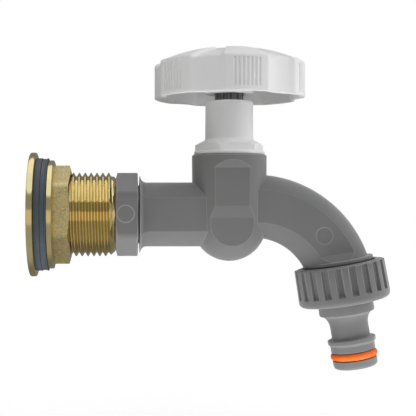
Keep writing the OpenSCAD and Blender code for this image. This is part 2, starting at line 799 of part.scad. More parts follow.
module washer_screw() {
    color(steel_color) at_valve(seat_z) {
        cylinder(d = washer_screw_d, h = washer_screw_l);
        translate([0, 0, -washer_screw_head_t]) difference() {
            bevelled_disc(washer_screw_head_d, washer_screw_head_t, screw_edge);
            translate([-far / 2, -slot_w / 2, -over]) cube([far, slot_w, over + slot_h]);
        }
    }
}

// Handwheel

// Outline of the rim, drawn in by a distance
module wheel_outline(inset = 0) {
    difference() {
        circle(r = wheel_d / 2 - inset);
        for (k = [0 : wheel_lobes - 1]) rotate(wheel_turn + (k + 0.5) * 360 / wheel_lobes)
            translate([scallop_at, 0]) circle(r = scallop_r + inset);
    }
}

// Plan of the raised petals, one over each lobe
module petal_plan() {
    reach = wheel_d;
    half_w = reach * tan(petal_half);
    for (k = [0 : wheel_lobes - 1]) rotate(wheel_turn + k * 360 / wheel_lobes)
        polygon([[0, 0], [reach, -half_w], [reach, half_w]]);
}

module wheel_solid() {
    r = wheel_d / 2;
    rim_top = dome_z + sqrt(dome_r * dome_r - r * r);
    intersection() {
        translate([0, 0, rim_z]) linear_extrude(wheel_h) wheel_outline();
        union() {
            translate([0, 0, dome_z]) sphere(r = dome_r - petal_step, $fn = dome_fn);
            intersection() {
                translate([0, 0, dome_z]) sphere(r = dome_r, $fn = dome_fn);
                translate([0, 0, rim_z]) linear_extrude(wheel_h) petal_plan();
            }
        }
        rotate_extrude() polygon([
            [0, rim_z], [r, rim_z], [r, rim_top - rim_edge], [r - rim_edge, rim_top + rim_edge / 3],
            [r - rim_edge, crown_z + over], [0, crown_z + over]
        ]);
    }
}

// Gaps between the ribs on the lobes
module wheel_gaps() {
    for (k = [0 : wheel_lobes - 1]) for (j = [0 : lobe_gaps - 1])
        rotate(wheel_turn + k * 360 / wheel_lobes + (j - (lobe_gaps - 1) / 2) * lobe_gap_step)
            translate([wheel_d / 2 - lobe_gap_h, -lobe_gap_w / 2, rim_z + lobe_gap_rise])
                cube([wheel_d, lobe_gap_w, lobe_gap_l]);
}

module handwheel() {
    color(head_color) at_valve() difference() {
        wheel_solid();
        wheel_gaps();
        // Hollow underside round the hub
        difference() {
            intersection() {
                translate([0, 0, rim_z - over]) linear_extrude(wheel_h) wheel_outline(rim_wall);
                translate([0, 0, dome_z]) sphere(r = dome_r - petal_step - roof_wall, $fn = dome_fn);
            }
            translate([0, 0, hub_z]) cylinder(d = hub_d, h = far);
        }
        translate([0, 0, hub_z - over]) linear_extrude(hub_socket + over) spline(thread_fit);
        cylinder(d = wheel_screw_d + 2 * loose_fit, h = far);
        translate([0, 0, screw_seat_z]) cylinder(d = wheel_screw_head_d + 4 * loose_fit, h = far);
        translate([0, 0, cap_z]) cylinder(d = cap_d + 2 * loose_fit, h = far);
    }
}

module handwheel_screw() {
    color(steel_color) at_valve(screw_seat_z) {
        translate([0, 0, -wheel_screw_l]) cylinder(d = wheel_screw_d, h = wheel_screw_l);
        difference() {
            bevelled_disc(wheel_screw_head_d, wheel_screw_head_t, screw_edge);
            // Cross slot
            for (a = [0, 90]) rotate(a)
                translate([-wheel_screw_d / 2, -cross_slot_w / 2, wheel_screw_head_t - cross_slot_h])
                    cube([wheel_screw_d, cross_slot_w, cross_slot_h + over]);
        }
    }
}

module handwheel_cap() {
    color(head_color) at_valve() intersection() {
        translate([0, 0, cap_z]) cylinder(d = cap_d, h = far);
        translate([0, 0, dome_z]) sphere(r = dome_r - petal_step / 2, $fn = dome_fn);
    }
}

// Outlet

module coupling_profile() {
    r_top = coupling_top_d / 2;
    r_low = coupling_low_d / 2;
    straight = coupling_h - coupling_round;
    polygon([
        [0, 0], [r_top, 0], [r_low, straight], [r_low - coupling_round, straight],
        [r_low - coupling_round, coupling_h], [0, coupling_h]
    ]);
    translate([r_low - coupling_round, straight]) circle(r = coupling_round);
}

module coupling_nut() {
    groove_floor = coupling_top_d / 2 - coupling_groove_h;
    color(nut_color) at_outlet() difference() {
        rotate_extrude() coupling_profile();
        translate([0, 0, -over]) cylinder(d = outlet_thread_d + 2 * thread_fit, h = nut_floor_at + over);
        cylinder(d = nipple_hole_d, h = far);
        for (k = [0 : coupling_grooves - 1]) rotate(k * 360 / coupling_grooves - 90)
            translate([groove_floor, -coupling_groove_w / 2, -over])
                cube([coupling_low_d, coupling_groove_w, coupling_groove_l + over]);
    }
}

module outlet_washer() {
    color(rubber_color) at_outlet(outlet_thread_end) ring(nipple_flange_d, spout_bore_d, outlet_washer_t);
}

module nipple_profile() {
    difference() {
        union() {
            translate([0, nipple_top]) square([nipple_flange_d / 2, nipple_flange_t]);
            translate([0, nipple_top]) square([nipple_collar_d / 2, nipple_collar_l - nipple_top]);
            translate([0, nipple_top]) square([waist_d / 2, nose_top - nipple_top]);
            difference() {
                translate([0, nipple_collar_l]) square([nipple_collar_d / 2, collar_round]);
                translate([nipple_collar_d / 2, nipple_collar_l + collar_round]) circle(r = collar_round);
            }
            polygon([
                [0, catch_top], [catch_d / 2, catch_top], [nose_d / 2, nose_top],
                [nose_d / 2, nose_end - nose_round], [nose_d / 2 - nose_round, nose_end - nose_round],
                [nose_d / 2 - nose_round, nose_end], [0, nose_end]
            ]);
            translate([nose_d / 2 - nose_round, nose_end - nose_round]) circle(r = nose_round);
        }
        translate([ring_groove_d / 2, ring_mid - nipple_ring_t / 2 - ring_room])
            square([far, nipple_ring_t + 2 * ring_room]);
    }
}

module hose_nipple() {
    color(nut_color) at_outlet() difference() {
        rotate_extrude() nipple_profile();
        cylinder(d = nipple_bore_d, h = far);
    }
}

module nipple_ring() {
    color(ring_color) at_outlet(ring_mid) seal_ring(nipple_ring_d - nipple_ring_t, nipple_ring_t);
}

tap_body();
bonnet();
bonnet_seal();
stem_rings();
tank_fitting();
inner_gasket();
outer_gasket();
flange_nut();
inlet_seal();
lock_nut();
valve_disc();
valve_washer();
washer_screw();
spindle();
handwheel();
handwheel_screw();
handwheel_cap();
coupling_nut();
outlet_washer();
hose_nipple();
nipple_ring();
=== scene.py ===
"""Garden bib tap: its moulded, turned and rubber pieces, round the frame of its solids."""

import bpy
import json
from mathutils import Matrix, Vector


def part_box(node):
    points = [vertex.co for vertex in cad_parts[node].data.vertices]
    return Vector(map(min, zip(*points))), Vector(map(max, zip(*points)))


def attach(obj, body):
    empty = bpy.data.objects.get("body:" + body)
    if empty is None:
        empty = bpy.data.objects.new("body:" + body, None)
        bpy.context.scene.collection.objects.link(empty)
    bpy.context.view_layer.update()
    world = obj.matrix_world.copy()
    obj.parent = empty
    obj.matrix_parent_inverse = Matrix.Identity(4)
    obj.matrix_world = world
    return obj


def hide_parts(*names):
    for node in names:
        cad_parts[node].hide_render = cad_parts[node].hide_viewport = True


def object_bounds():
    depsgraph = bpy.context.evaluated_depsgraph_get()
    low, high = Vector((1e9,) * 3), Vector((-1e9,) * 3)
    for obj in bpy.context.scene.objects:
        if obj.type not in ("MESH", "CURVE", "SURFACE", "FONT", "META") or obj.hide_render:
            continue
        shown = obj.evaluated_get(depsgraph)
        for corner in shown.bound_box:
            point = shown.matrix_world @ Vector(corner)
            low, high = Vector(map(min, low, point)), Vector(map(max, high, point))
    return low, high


bl_info = {
    "name": "Bib tap",
    "version": (1, 0, 0),
    "blender": (4, 5, 0),
    "location": "View3D > Sidebar > Bib tap",
    "description": "Models and finishes a plastic garden tap with a brass tank fitting",
    "category": "Add Mesh",
}

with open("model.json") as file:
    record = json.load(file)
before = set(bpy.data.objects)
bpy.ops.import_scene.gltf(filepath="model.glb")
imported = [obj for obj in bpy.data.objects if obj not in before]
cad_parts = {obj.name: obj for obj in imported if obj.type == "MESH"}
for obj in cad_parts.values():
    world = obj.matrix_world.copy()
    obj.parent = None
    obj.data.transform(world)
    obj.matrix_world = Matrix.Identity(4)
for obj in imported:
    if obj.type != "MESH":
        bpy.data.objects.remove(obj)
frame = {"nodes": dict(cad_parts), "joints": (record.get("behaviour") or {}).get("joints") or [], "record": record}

import json
import math

import bmesh
import bpy
from bpy.props import FloatProperty, FloatVectorProperty, IntProperty, PointerProperty
from mathutils import Matrix, Vector

MM = 0.001
CAD_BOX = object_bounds()
RECORD = frame["record"]
MOUNTS = {mount["name"]: mount for mount in RECORD["mounts"]}
JOINTS = {joint["name"]: joint for joint in frame["joints"]}


def extent(node, axis):
    """Lowest and highest millimetre of a node along one axis."""
    low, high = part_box(node)
    return low[axis] / MM, high[axis] / MM


# Places that the frame gives, in millimetres
VALVE_X = sum(extent("spindle", 0)) / 2
LOCK_NUT_X = sum(extent("lock_nut", 0)) / 2
FITTING_LEFT, FITTING_RIGHT = extent("tank_fitting", 0)
OUTLET_AT = Vector(JOINTS["coupling_nut_turn"]["pos_m"]) / MM
OUTLET_DIRECTION = Vector(JOINTS["coupling_nut_turn"]["axis"])
# The spout's bend: its start beside the valve's axis, its height there, its radius, and the mark's angle along it
BEND_START, BEND_Z, BEND_R, MARK_ANGLE = 8.8, 3, 32, math.radians(47.8)
# Round marks on the spout's and the lock nut's flats, drawn as rings of painted highlight: centre and radius
WITNESS_RINGS = (
    ((VALVE_X + BEND_START + BEND_R * math.sin(MARK_ANGLE), 0,
      BEND_Z - BEND_R + BEND_R * math.cos(MARK_ANGLE)), 2.97),
    ((LOCK_NUT_X - 0.5, 0, 0.3), 3.0),
)
# How much shorter than sharp the corners of the large hexagons are
CORNER_CUT = 0.35
# How far inside the flats the cone on a nut's face starts, and how steep it is
FACE_RIM, FACE_SLOPE = 0.25, math.tan(math.radians(15))
# What all turned pieces are turned by and round
FULL_TURN = 2 * math.pi
ROUND_Z = {"cent": (0, 0, 0), "axis": (0, 0, 1)}


def linear(tint):
    """Linear colour of an sRGB hex value."""
    channels = [int(tint[i:i + 2], 16) / 255 for i in (1, 3, 5)]
    return [c / 12.92 if c <= 0.04045 else ((c + 0.055) / 1.055) ** 2.4 for c in channels]


def size(name, about, value, low, high):
    """Property for a size, in the unit that its description names."""
    return FloatProperty(name=name, description=about, default=value, min=low, max=high)


def colour(name, about, tint):
    """Colour property with the linear value of an sRGB hex colour."""
    return FloatVectorProperty(
        name=name, description=about, default=linear(tint), size=3, min=0, max=1, subtype="COLOR"
    )


class BrassSizes(bpy.types.PropertyGroup):
    tube_d: size("Tube", "Outer diameter of the long thread in mm", 30.0, 26.0, 34.0)
    pitch: size("Pitch", "Pitch of the long thread in mm", 2.1, 1.5, 2.6)
    depth: size("Depth", "Depth of the long thread in mm", 1.3, 0.5, 1.5)
    flange_d: size("Flange", "Diameter of the flange inside the tank in mm", 44.4, 40.0, 50.0)
    nut_flange_d: size("Nut flange", "Diameter of the nut's flange in mm", 38.8, 36.0, 44.0)
    flange_t: size("Flange thickness", "Thickness of the fitting's flange in mm", 2.3, 2.0, 4.0)
    nut_flange_t: size("Nut flange thickness", "Thickness of the nut's flange in mm", 2.4, 2.0, 4.0)
    hex_w: size("Hexagon", "Distance across the nut's flats in mm", 31.3, 30.0, 40.0)
    hex_turn: size("Turn", "Turn of the nut's hexagon in degrees", -5.8, -30.0, 30.0)


class PlasticSizes(bpy.types.PropertyGroup):
    lock_w: size("Lock nut", "Distance across the lock nut's flats in mm", 26.5, 24.0, 32.0)
    bonnet_w: size("Bonnet", "Distance across the bonnet's flats in mm", 22.0, 18.0, 26.0)
    bonnet_turn: size("Bonnet turn", "Turn of the bonnet's hexagon in degrees", 9.5, -30.0, 30.0)
    sleeve_d: size("Sleeve", "Diameter of the sleeve at its foot in mm", 17.24, 15.0, 20.0)


class WheelSizes(bpy.types.PropertyGroup):
    wheel_d: size("Diameter", "Diameter over the lobes in mm", 54.0, 40.0, 70.0)
    hollow: size("Hollows", "Depth of the hollows between the lobes in mm", 2.2, 0.5, 4.0)
    turn: size("Turn", "Turn of the lobes in degrees", 37.0, 0.0, 60.0)
    rib_pitch: size("Rib pitch", "Angle from rib to rib in degrees", 3.05, 2.0, 6.0)
    rib_depth: size("Rib depth", "Depth of the gaps between the ribs in mm", 0.45, 0.1, 0.8)
    lobes: IntProperty(name="Lobes", description="Number of lobes", default=6, min=4, max=8)


class TapColours(bpy.types.PropertyGroup):
    brass: colour("Brass", "Turned brass", "#e2d19a")
    body: colour("Body", "Dark grey plastic", "#797979")
    head: colour("Head", "Light grey plastic", "#f4f4f4")
    nut: colour("Nuts", "Mid grey plastic", "#767677")
    rubber: colour("Rubber", "Blue-grey rubber", "#4a535c")
    ring: colour("Ring", "Orange rubber", "#ff6c14")
    steel: colour("Steel", "Screws", "#b8bbbe")


# Node helpers for the materials

def add(tree, kind, links=(), **settings):
    """Adds a node, sets its properties or sockets by name, and links or sets (socket, source or value) pairs."""
    node = tree.nodes.new(kind)
    for key, value in settings.items():
        if hasattr(node, key):
            setattr(node, key, value)
        else:
            node.inputs[key.replace("_", " ")].default_value = value
    for socket, source in links:
        if isinstance(source, bpy.types.NodeSocket):
            tree.links.new(source, node.inputs[socket])
        else:
            node.inputs[socket].default_value = source
    return node


def started(name, base, roughness, **shader):
    """A new material with its shader set, and its tree."""
    material = bpy.data.materials.new(name)
    material.use_nodes = True
    tree = material.node_tree
    surface = tree.nodes["Principled BSDF"]
    surface.inputs["Base Color"].default_value = (*base, 1)
    surface.inputs["Roughness"].default_value = roughness
    for key, value in shader.items():
        surface.inputs[key.replace("_", " ")].default_value = value
    material.diffuse_color = (*base, 1)
    return material, tree, surface


def shaded(base, factor):
    """A colour made darker or lighter."""
    return tuple(min(1, c * factor) for c in base[:3])


def moulded_plastic(name, base, roughness=0.42, marks=()):
    """Satin polypropylene from a fine eroded mould: soft highlights, painted edge highlights, a barely uneven skin."""
    # The sheen is the light that the eroded skin scatters at flat angles
    material, tree, surface = started(
        name, base, roughness, IOR=1.49, Specular_IOR_Level=0.3, Sheen_Weight=0.6, Sheen_Roughness=0.4
    )
    place = add(tree, "ShaderNodeTexCoord").outputs["Object"]
    # Flow of the melt: broad, faint clouds about 20 mm wide
    clouds = add(tree, "ShaderNodeTexNoise", [("Vector", place)], Scale=50.0, Detail=3.0)
    tone = add(tree, "ShaderNodeMix", [
        ("Factor", clouds.outputs["Fac"])], data_type="RGBA", A=(*shaded(base, 0.96), 1), B=(*shaded(base, 1.04), 1))
    # Edges rounded by 0.4 mm, as the mould leaves them, with a painted highlight where the surface bends by 3 to 15
    # degrees
    solid = add(tree, "ShaderNodeNewGeometry")
    edges = add(tree, "ShaderNodeBevel", samples=6, Radius=0.0004)
    facing = add(tree, "ShaderNodeVectorMath", [
        (0, edges.outputs["Normal"]), (1, solid.outputs["Normal"])], operation="DOT_PRODUCT")
    edge_highlight = add(tree, "ShaderNodeMapRange", [
        ("Value", facing.outputs["Value"])], From_Min=0.999, From_Max=0.965)
    # Witness rings of the ejector pins: painted highlight lines 0.5 mm wide, as pale as the edges
    for at, radius in marks:
        away = add(tree, "ShaderNodeVectorMath", [("Vector", place), (1, [c * MM for c in at])], operation="SUBTRACT")
        flat = add(tree, "ShaderNodeVectorMath", [
            ("Vector", away.outputs["Vector"]), (1, (1, 0, 1))], operation="MULTIPLY")
        length = add(tree, "ShaderNodeVectorMath", [("Vector", flat.outputs["Vector"])], operation="LENGTH")
        off = add(tree, "ShaderNodeMath", [(0, length.outputs["Value"]), (1, radius * MM)], operation="SUBTRACT")
        gap = add(tree, "ShaderNodeMath", [(0, off.outputs[0])], operation="ABSOLUTE")
        line = add(tree, "ShaderNodeMapRange", [("Value", gap.outputs[0])], From_Min=0.0003, From_Max=0.0001)
        edge_highlight = add(tree, "ShaderNodeMath", [
            (0, edge_highlight.outputs[0]), (1, line.outputs[0])], operation="MAXIMUM")
    # Painted highlight: the edges and the rings are lightened to 1.7 times the base colour
    pale = add(tree, "ShaderNodeMix", [
        ("Factor", edge_highlight.outputs[0]), ("A", tone.outputs["Result"])], data_type="RGBA", B=(*shaded(base, 1.7), 1))
    tree.links.new(pale.outputs["Result"], surface.inputs["Base Color"])
    # Grain of the eroded mould: about 0.25 mm, drawn coarser than real so that it shows
    grain = add(tree, "ShaderNodeTexNoise", [("Vector", place)], Scale=4000.0, Detail=2.0)
    gloss = add(tree, "ShaderNodeMapRange", [
        ("Value", grain.outputs["Fac"])], To_Min=roughness - 0.05, To_Max=roughness + 0.05)
    tree.links.new(gloss.outputs["Result"], surface.inputs["Roughness"])
    bump = add(tree, "ShaderNodeBump", [
        ("Height", grain.outputs["Fac"]), ("Normal", edges.outputs["Normal"])], Strength=0.06, Distance=0.00002)
    tree.links.new(bump.outputs["Normal"], surface.inputs["Normal"])
    return material


def turned_brass(name, base, roughness=0.14):
    """Brass off the lathe: bright, with tool lines round the X axis that streak the highlights."""
    material, tree, surface = started(name, base, roughness, Metallic=1.0)
    place = add(tree, "ShaderNodeTexCoord").outputs["Object"]
    parts = add(tree, "ShaderNodeSeparateXYZ", [("Vector", place)])
    # Distance from the axis and place along it: what the tool's lines follow
    across = add(tree, "ShaderNodeMath", [(0, parts.outputs["Y"]), (1, 2)], operation="POWER")
    up = add(tree, "ShaderNodeMath", [(0, parts.outputs["Z"]), (1, 2)], operation="POWER")
    square = add(tree, "ShaderNodeMath", [(0, across.outputs[0]), (1, up.outputs[0])], operation="ADD")
    radius = add(tree, "ShaderNodeMath", [(0, square.outputs[0])], operation="SQRT")
    lathe = add(tree, "ShaderNodeCombineXYZ", [("X", parts.outputs["X"]), ("Y", radius.outputs[0])])
    # Feed marks about 0.2 mm apart
    marks = add(tree, "ShaderNodeTexNoise", [("Vector", lathe.outputs[0])], Scale=5200.0, Detail=2.0)
    gloss = add(tree, "ShaderNodeMapRange", [
        ("Value", marks.outputs["Fac"])], To_Min=roughness - 0.04, To_Max=roughness + 0.06)
    tree.links.new(gloss.outputs["Result"], surface.inputs["Roughness"])
    # Stains from handling, about 5 mm wide
    stain = add(tree, "ShaderNodeTexNoise", [("Vector", place)], Scale=220.0, Detail=4.0)
    tone = add(tree, "ShaderNodeMix", [
        ("Factor", stain.outputs["Fac"])], data_type="RGBA", A=(*shaded(base, 0.9), 1), B=(*shaded(base, 1.08), 1))
    tree.links.new(tone.outputs["Result"], surface.inputs["Base Color"])
    bump = add(tree, "ShaderNodeBump", [("Height", marks.outputs["Fac"])], Strength=0.05, Distance=0.00004)
    tree.links.new(bump.outputs["Normal"], surface.inputs["Normal"])
    return material


def forged_brass(name, base, roughness=0.52):
    """Brass as forged and tumbled: duller, mottled, with small pits and a soft sheen."""
    material, tree, surface = started(name, base, roughness, Metallic=1.0)
    place = add(tree, "ShaderNodeTexCoord").outputs["Object"]
    # Mottling about 0.7 mm wide
    mottle = add(tree, "ShaderNodeTexNoise", [("Vector", place)], Scale=1500.0, Detail=5.0, Roughness=0.7)
    spread = add(tree, "ShaderNodeMapRange", [("Value", mottle.outputs["Fac"])], From_Min=0.35, From_Max=0.65)
    tone = add(tree, "ShaderNodeMix", [
        ("Factor", spread.outputs["Result"])], data_type="RGBA", A=(*shaded(base, 0.6), 1), B=(*shaded(base, 1.08), 1))
    tree.links.new(tone.outputs["Result"], surface.inputs["Base Color"])
    gloss = add(tree, "ShaderNodeMapRange", [
        ("Value", mottle.outputs["Fac"])], To_Min=roughness - 0.1, To_Max=roughness + 0.12)
    tree.links.new(gloss.outputs["Result"], surface.inputs["Roughness"])
    bump = add(tree, "ShaderNodeBump", [("Height", mottle.outputs["Fac"])], Strength=0.3, Distance=0.0001)
    tree.links.new(bump.outputs["Normal"], surface.inputs["Normal"])
    return material


def moulded_rubber(name, base, roughness=0.5):
    """Press-moulded rubber: dull, with a dusty bloom and fine grit in its skin."""
    material, tree, surface = started(name, base, roughness, IOR=1.5)
    place = add(tree, "ShaderNodeTexCoord").outputs["Object"]
    # Bloom: patches about 3 mm wide
    bloom = add(tree, "ShaderNodeTexNoise", [("Vector", place)], Scale=330.0, Detail=5.0)
    tone = add(tree, "ShaderNodeMix", [
        ("Factor", bloom.outputs["Fac"])], data_type="RGBA", A=(*shaded(base, 0.82), 1), B=(*shaded(base, 1.2), 1))
    tree.links.new(tone.outputs["Result"], surface.inputs["Base Color"])
    # Grit about 0.3 mm, drawn coarser than real so that it shows
    grit = add(tree, "ShaderNodeTexNoise", [("Vector", place)], Scale=3200.0, Detail=2.0)
    bump = add(tree, "ShaderNodeBump", [("Height", grit.outputs["Fac"])], Strength=0.15, Distance=0.00005)
    tree.links.new(bump.outputs["Normal"], surface.inputs["Normal"])
    return material


def plain_steel(name, base, roughness=0.3):
    """Zinc-plated screw steel: greyish, with a soft sheen."""
    material, tree, surface = started(name, base, roughness, Metallic=1.0)
    place = add(tree, "ShaderNodeTexCoord").outputs["Object"]
    # Cloudiness of the plating, about 0.8 mm wide
    plating = add(tree, "ShaderNodeTexNoise", [("Vector", place)], Scale=1200.0, Detail=3.0)
    gloss = add(tree, "ShaderNodeMapRange", [
        ("Value", plating.outputs["Fac"])], To_Min=roughness - 0.08, To_Max=roughness + 0.1)
    tree.links.new(gloss.outputs["Result"], surface.inputs["Roughness"])
    return material


FINISHES = {}


def finishes():
    """The tap's materials by their place, made once."""
    if not FINISHES:
        tone = bpy.context.scene.tap_colours
        FINISHES["brass"] = turned_brass("turned_brass", tone.brass)
        # The cut thread is a little smoother, and its colour is lightened by 4 percent as painted light; its flanks
        # mirror each other
        FINISHES["thread"] = turned_brass("cut_brass_painted_lighter", shaded(tone.brass, 1.04), 0.1)
        FINISHES["forged"] = forged_brass("forged_brass", tone.brass)
        FINISHES["body_plastic"] = moulded_plastic("body_polypropylene", tone.body, marks=WITNESS_RINGS)
        FINISHES["head_plastic"] = moulded_plastic("head_polypropylene", tone.head, 0.45)
        FINISHES["nut_plastic"] = moulded_plastic("nut_polypropylene", tone.nut)
        FINISHES["rubber"] = moulded_rubber("gasket_rubber", tone.rubber)
        FINISHES["ring_rubber"] = moulded_rubber("ring_rubber", tone.ring, 0.4)
        FINISHES["steel"] = plain_steel("zinc_plated_steel", tone.steel)
    return FINISHES


def rounded(corners, steps=3):
    """Outline from (radius, height, rounding) corners, with the rounded ones as arcs."""
    outline = []
    for i, (r, z, fillet) in enumerate(corners):
        here = Vector((r, z))
        if not fillet:
            outline.append((r, z))
            continue
        before = (Vector(corners[i - 1][:2]) - here).normalized()
        after = (Vector(corners[(i + 1) % len(corners)][:2]) - here).normalized()
        half = before.angle(after) / 2
        middle = here + (before + after).normalized() * (fillet / math.sin(half))
        start = here + before * (fillet / math.tan(half)) - middle
        end = here + after * (fillet / math.tan(half)) - middle
        for k in range(steps + 1):
            outline.append(tuple(middle + start.slerp(end, k / steps).normalized() * fillet))
    return outline


def quarter(r, z, fillet):
    """Outline of a quarter round at a corner, from its side to its end."""
    return [
        (r - fillet * (1 - math.cos(a)), z - fillet * (1 - math.sin(a)))
        for a in [math.radians(15 * k) for k in range(7)]
    ]


def spun(outline, segments, sectors=1):
    """A mesh turned round Z from an outline of (radius, height), each vertex marked with its ring."""
    bm = bmesh.new()
    ring = bm.verts.layers.int.new("ring")
    verts = []
    for i, (r, z) in enumerate(outline):
        vert = bm.verts.new((r, 0, z))
        vert[ring] = i
        verts.append(vert)
    edges = [bm.edges.new(pair) for pair in zip(verts, verts[1:] + verts[:1])]
    # One sector is turned and then copied, which takes far less time
    sector = FULL_TURN / sectors
    bmesh.ops.spin(
        bm, geom=verts + edges, **ROUND_Z, angle=sector, steps=segments // sectors, use_merge=sectors == 1
    )
    if sectors > 1:
        bmesh.ops.spin(
            bm, geom=bm.verts[:] + bm.edges[:] + bm.faces[:], **ROUND_Z, angle=sector * (sectors - 1),
            steps=sectors - 1, use_duplicate=True
        )
    bmesh.ops.remove_doubles(bm, verts=bm.verts, dist=1e-4)
    bmesh.ops.recalc_face_normals(bm, faces=bm.faces)
    return bm


def around(vert):
    """Angle of a vertex round Z."""
    return math.atan2(vert.co.y, vert.co.x)


def set_radius(vert, r):
    """Moves a vertex out or in to a radius."""
    old = math.hypot(vert.co.x, vert.co.y)
    vert.co.x *= r / old
    vert.co.y *= r / old


def hex_corner(width, cut=CORNER_CUT):
    """Radius of a hexagon's cut corners."""
    return width / math.sqrt(3) - cut


def hex_radius(angle, width, cut=CORNER_CUT):
    """Radius at an angle of a hexagon with cut corners, one of them at angle zero."""
    turn = (angle + math.pi / 6) % (math.pi / 3) - math.pi / 6
    off_flat = math.pi / 6 - abs(turn)
    return min(width / 2 / math.cos(off_flat), hex_corner(width, cut))


def shape_hexagon(bm, width, rings, cone_ring, cone, cut=CORNER_CUT):
    """Presses rings of a turned mesh to a hexagon, one of them also to a (radius, height, slope) cone."""
    ring = bm.verts.layers.int["ring"]
    cone_r, cone_z, slope = cone
    for vert in bm.verts:
        if vert[ring] not in rings:
            continue
        r = hex_radius(around(vert), width, cut)
        set_radius(vert, r)
        if vert[ring] == cone_ring:
            vert.co.z = cone_z + (r - cone_r) * slope


def laid_along_x():
    """Turns what stands along Z to lie along X."""
    return Matrix.Rotation(math.pi / 2, 4, "Y")


def laid_on_outlet():
    """Turns what stands along Z to point out of the outlet."""
    lean = math.atan2(OUTLET_DIRECTION.x, -OUTLET_DIRECTION.z)
    return Matrix.Translation(OUTLET_AT) @ Matrix.Rotation(math.pi - lean, 4, "Y")


def laid_on_valve():
    """Moves what stands along Z to the valve's axis."""
    return Matrix.Translation((VALVE_X, 0, 0))


def shown(bm, name, material):
    """Puts the mesh in the scene as an object with a material."""
    mesh = bpy.data.meshes.new(name)
    bm.to_mesh(mesh)
    bm.free()
    mesh.materials.append(material)
    piece = bpy.data.objects.new(name, mesh)
    bpy.context.scene.collection.objects.link(piece)
    return piece


def finish(bm, name, finish_name, body, place, nodes, sharp=32):
    """Makes the mesh a piece of a body that stands for CAD nodes, with crisp edges past an angle."""
    bmesh.ops.transform(bm, matrix=Matrix.Scale(MM, 4) @ place, verts=bm.verts)
    piece = shown(bm, name, finishes()[finish_name])
    piece.data.shade_smooth()
    piece.data.set_sharp_from_angle(angle=math.radians(sharp))
    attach(piece, body)
    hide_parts(*nodes)
    return piece


def refinish(piece, finish_name, chosen):
    """Gives a second finish to the faces that a test of face, place along X and radius chooses."""
    piece.data.materials.append(finishes()[finish_name])
    for face in piece.data.polygons:
        x, y, z = face.center / MM
        if chosen(face, x, math.hypot(y, z)):
            face.material_index = 1


def dress(node, finish_name, edge=0):
    """Gives a CAD node its material, and rounds its edges where a size is given."""
    piece = frame["nodes"][node]
    piece.data.materials.clear()
    piece.data.materials.append(finishes()[finish_name])
    if edge:
        weld = piece.modifiers.new("joined", "WELD")
        weld.merge_threshold = 1e-6
        bevel = piece.modifiers.new("rounded", "BEVEL")
        bevel.width = edge * MM
        bevel.segments = 3
        bevel.limit_method = "ANGLE"
        bevel.angle_limit = math.radians(20)


# Brass tank fitting

def thread_tube(radius, depth, pitch, low, high, crest_at, segments=96):
    """Open tube with a right-handed V thread, whose crest passes angle zero at one height."""
    # Width of a flank at 30 degrees, and half the crest's flat, as shares of the pitch
    flank, crest = depth * math.tan(math.radians(30)) / pitch, 0.07
    outline = [(0, radius - depth), (0.5 - crest - flank, radius - depth), (0.5 - crest, radius),
               (0.5 + crest, radius), (0.5 + crest + flank, radius - depth), (1, radius - depth)]
    turns = math.ceil((high - low) / pitch) + 3
    start = crest_at - pitch / 2
    start -= math.ceil((start + pitch - low) / pitch) * pitch
    bm = bmesh.new()
    verts = [bm.verts.new((r, 0, start + share * pitch)) for share, r in outline]
    edges = [bm.edges.new(pair) for pair in zip(verts, verts[1:])]
    # One turn climbs by the pitch, and the others are its copies
    bmesh.ops.spin(
        bm, geom=verts + edges, **ROUND_Z, dvec=(0, 0, pitch / segments), angle=FULL_TURN, steps=segments,
        use_merge=False
    )
    bmesh.ops.spin(
        bm, geom=bm.verts[:] + bm.edges[:] + bm.faces[:], **ROUND_Z, dvec=(0, 0, pitch),
        angle=FULL_TURN * (turns - 1), steps=turns - 1, use_duplicate=True
    )
    bmesh.ops.remove_doubles(bm, verts=bm.verts, dist=1e-3)
    for height, side in ((low, -1), (high, 1)):
        geom = bm.verts[:] + bm.edges[:] + bm.faces[:]
        bmesh.ops.bisect_plane(
            bm, geom=geom, plane_co=(0, 0, height), plane_no=(0, 0, side), clear_outer=True, dist=1e-4
        )
    return bm


def rim_edges(bm, height):
    """Open edges of a mesh at one height."""
    return [e for e in bm.edges if e.is_boundary and all(abs(v.co.z - height) < 1e-3 for v in e.verts)]


def drawn_on(bm, edges, corners):
    """Draws an open round edge on through (radius, height) corners, and gives its last edge."""
    for r, z in corners:
        grown = bmesh.ops.extrude_edge_only(bm, edges=edges)["geom"]
        edges = [g for g in grown if isinstance(g, bmesh.types.BMEdge)]
        for vert in {v for e in edges for v in e.verts}:
            set_radius(vert, r)
            vert.co.z = z
    return edges


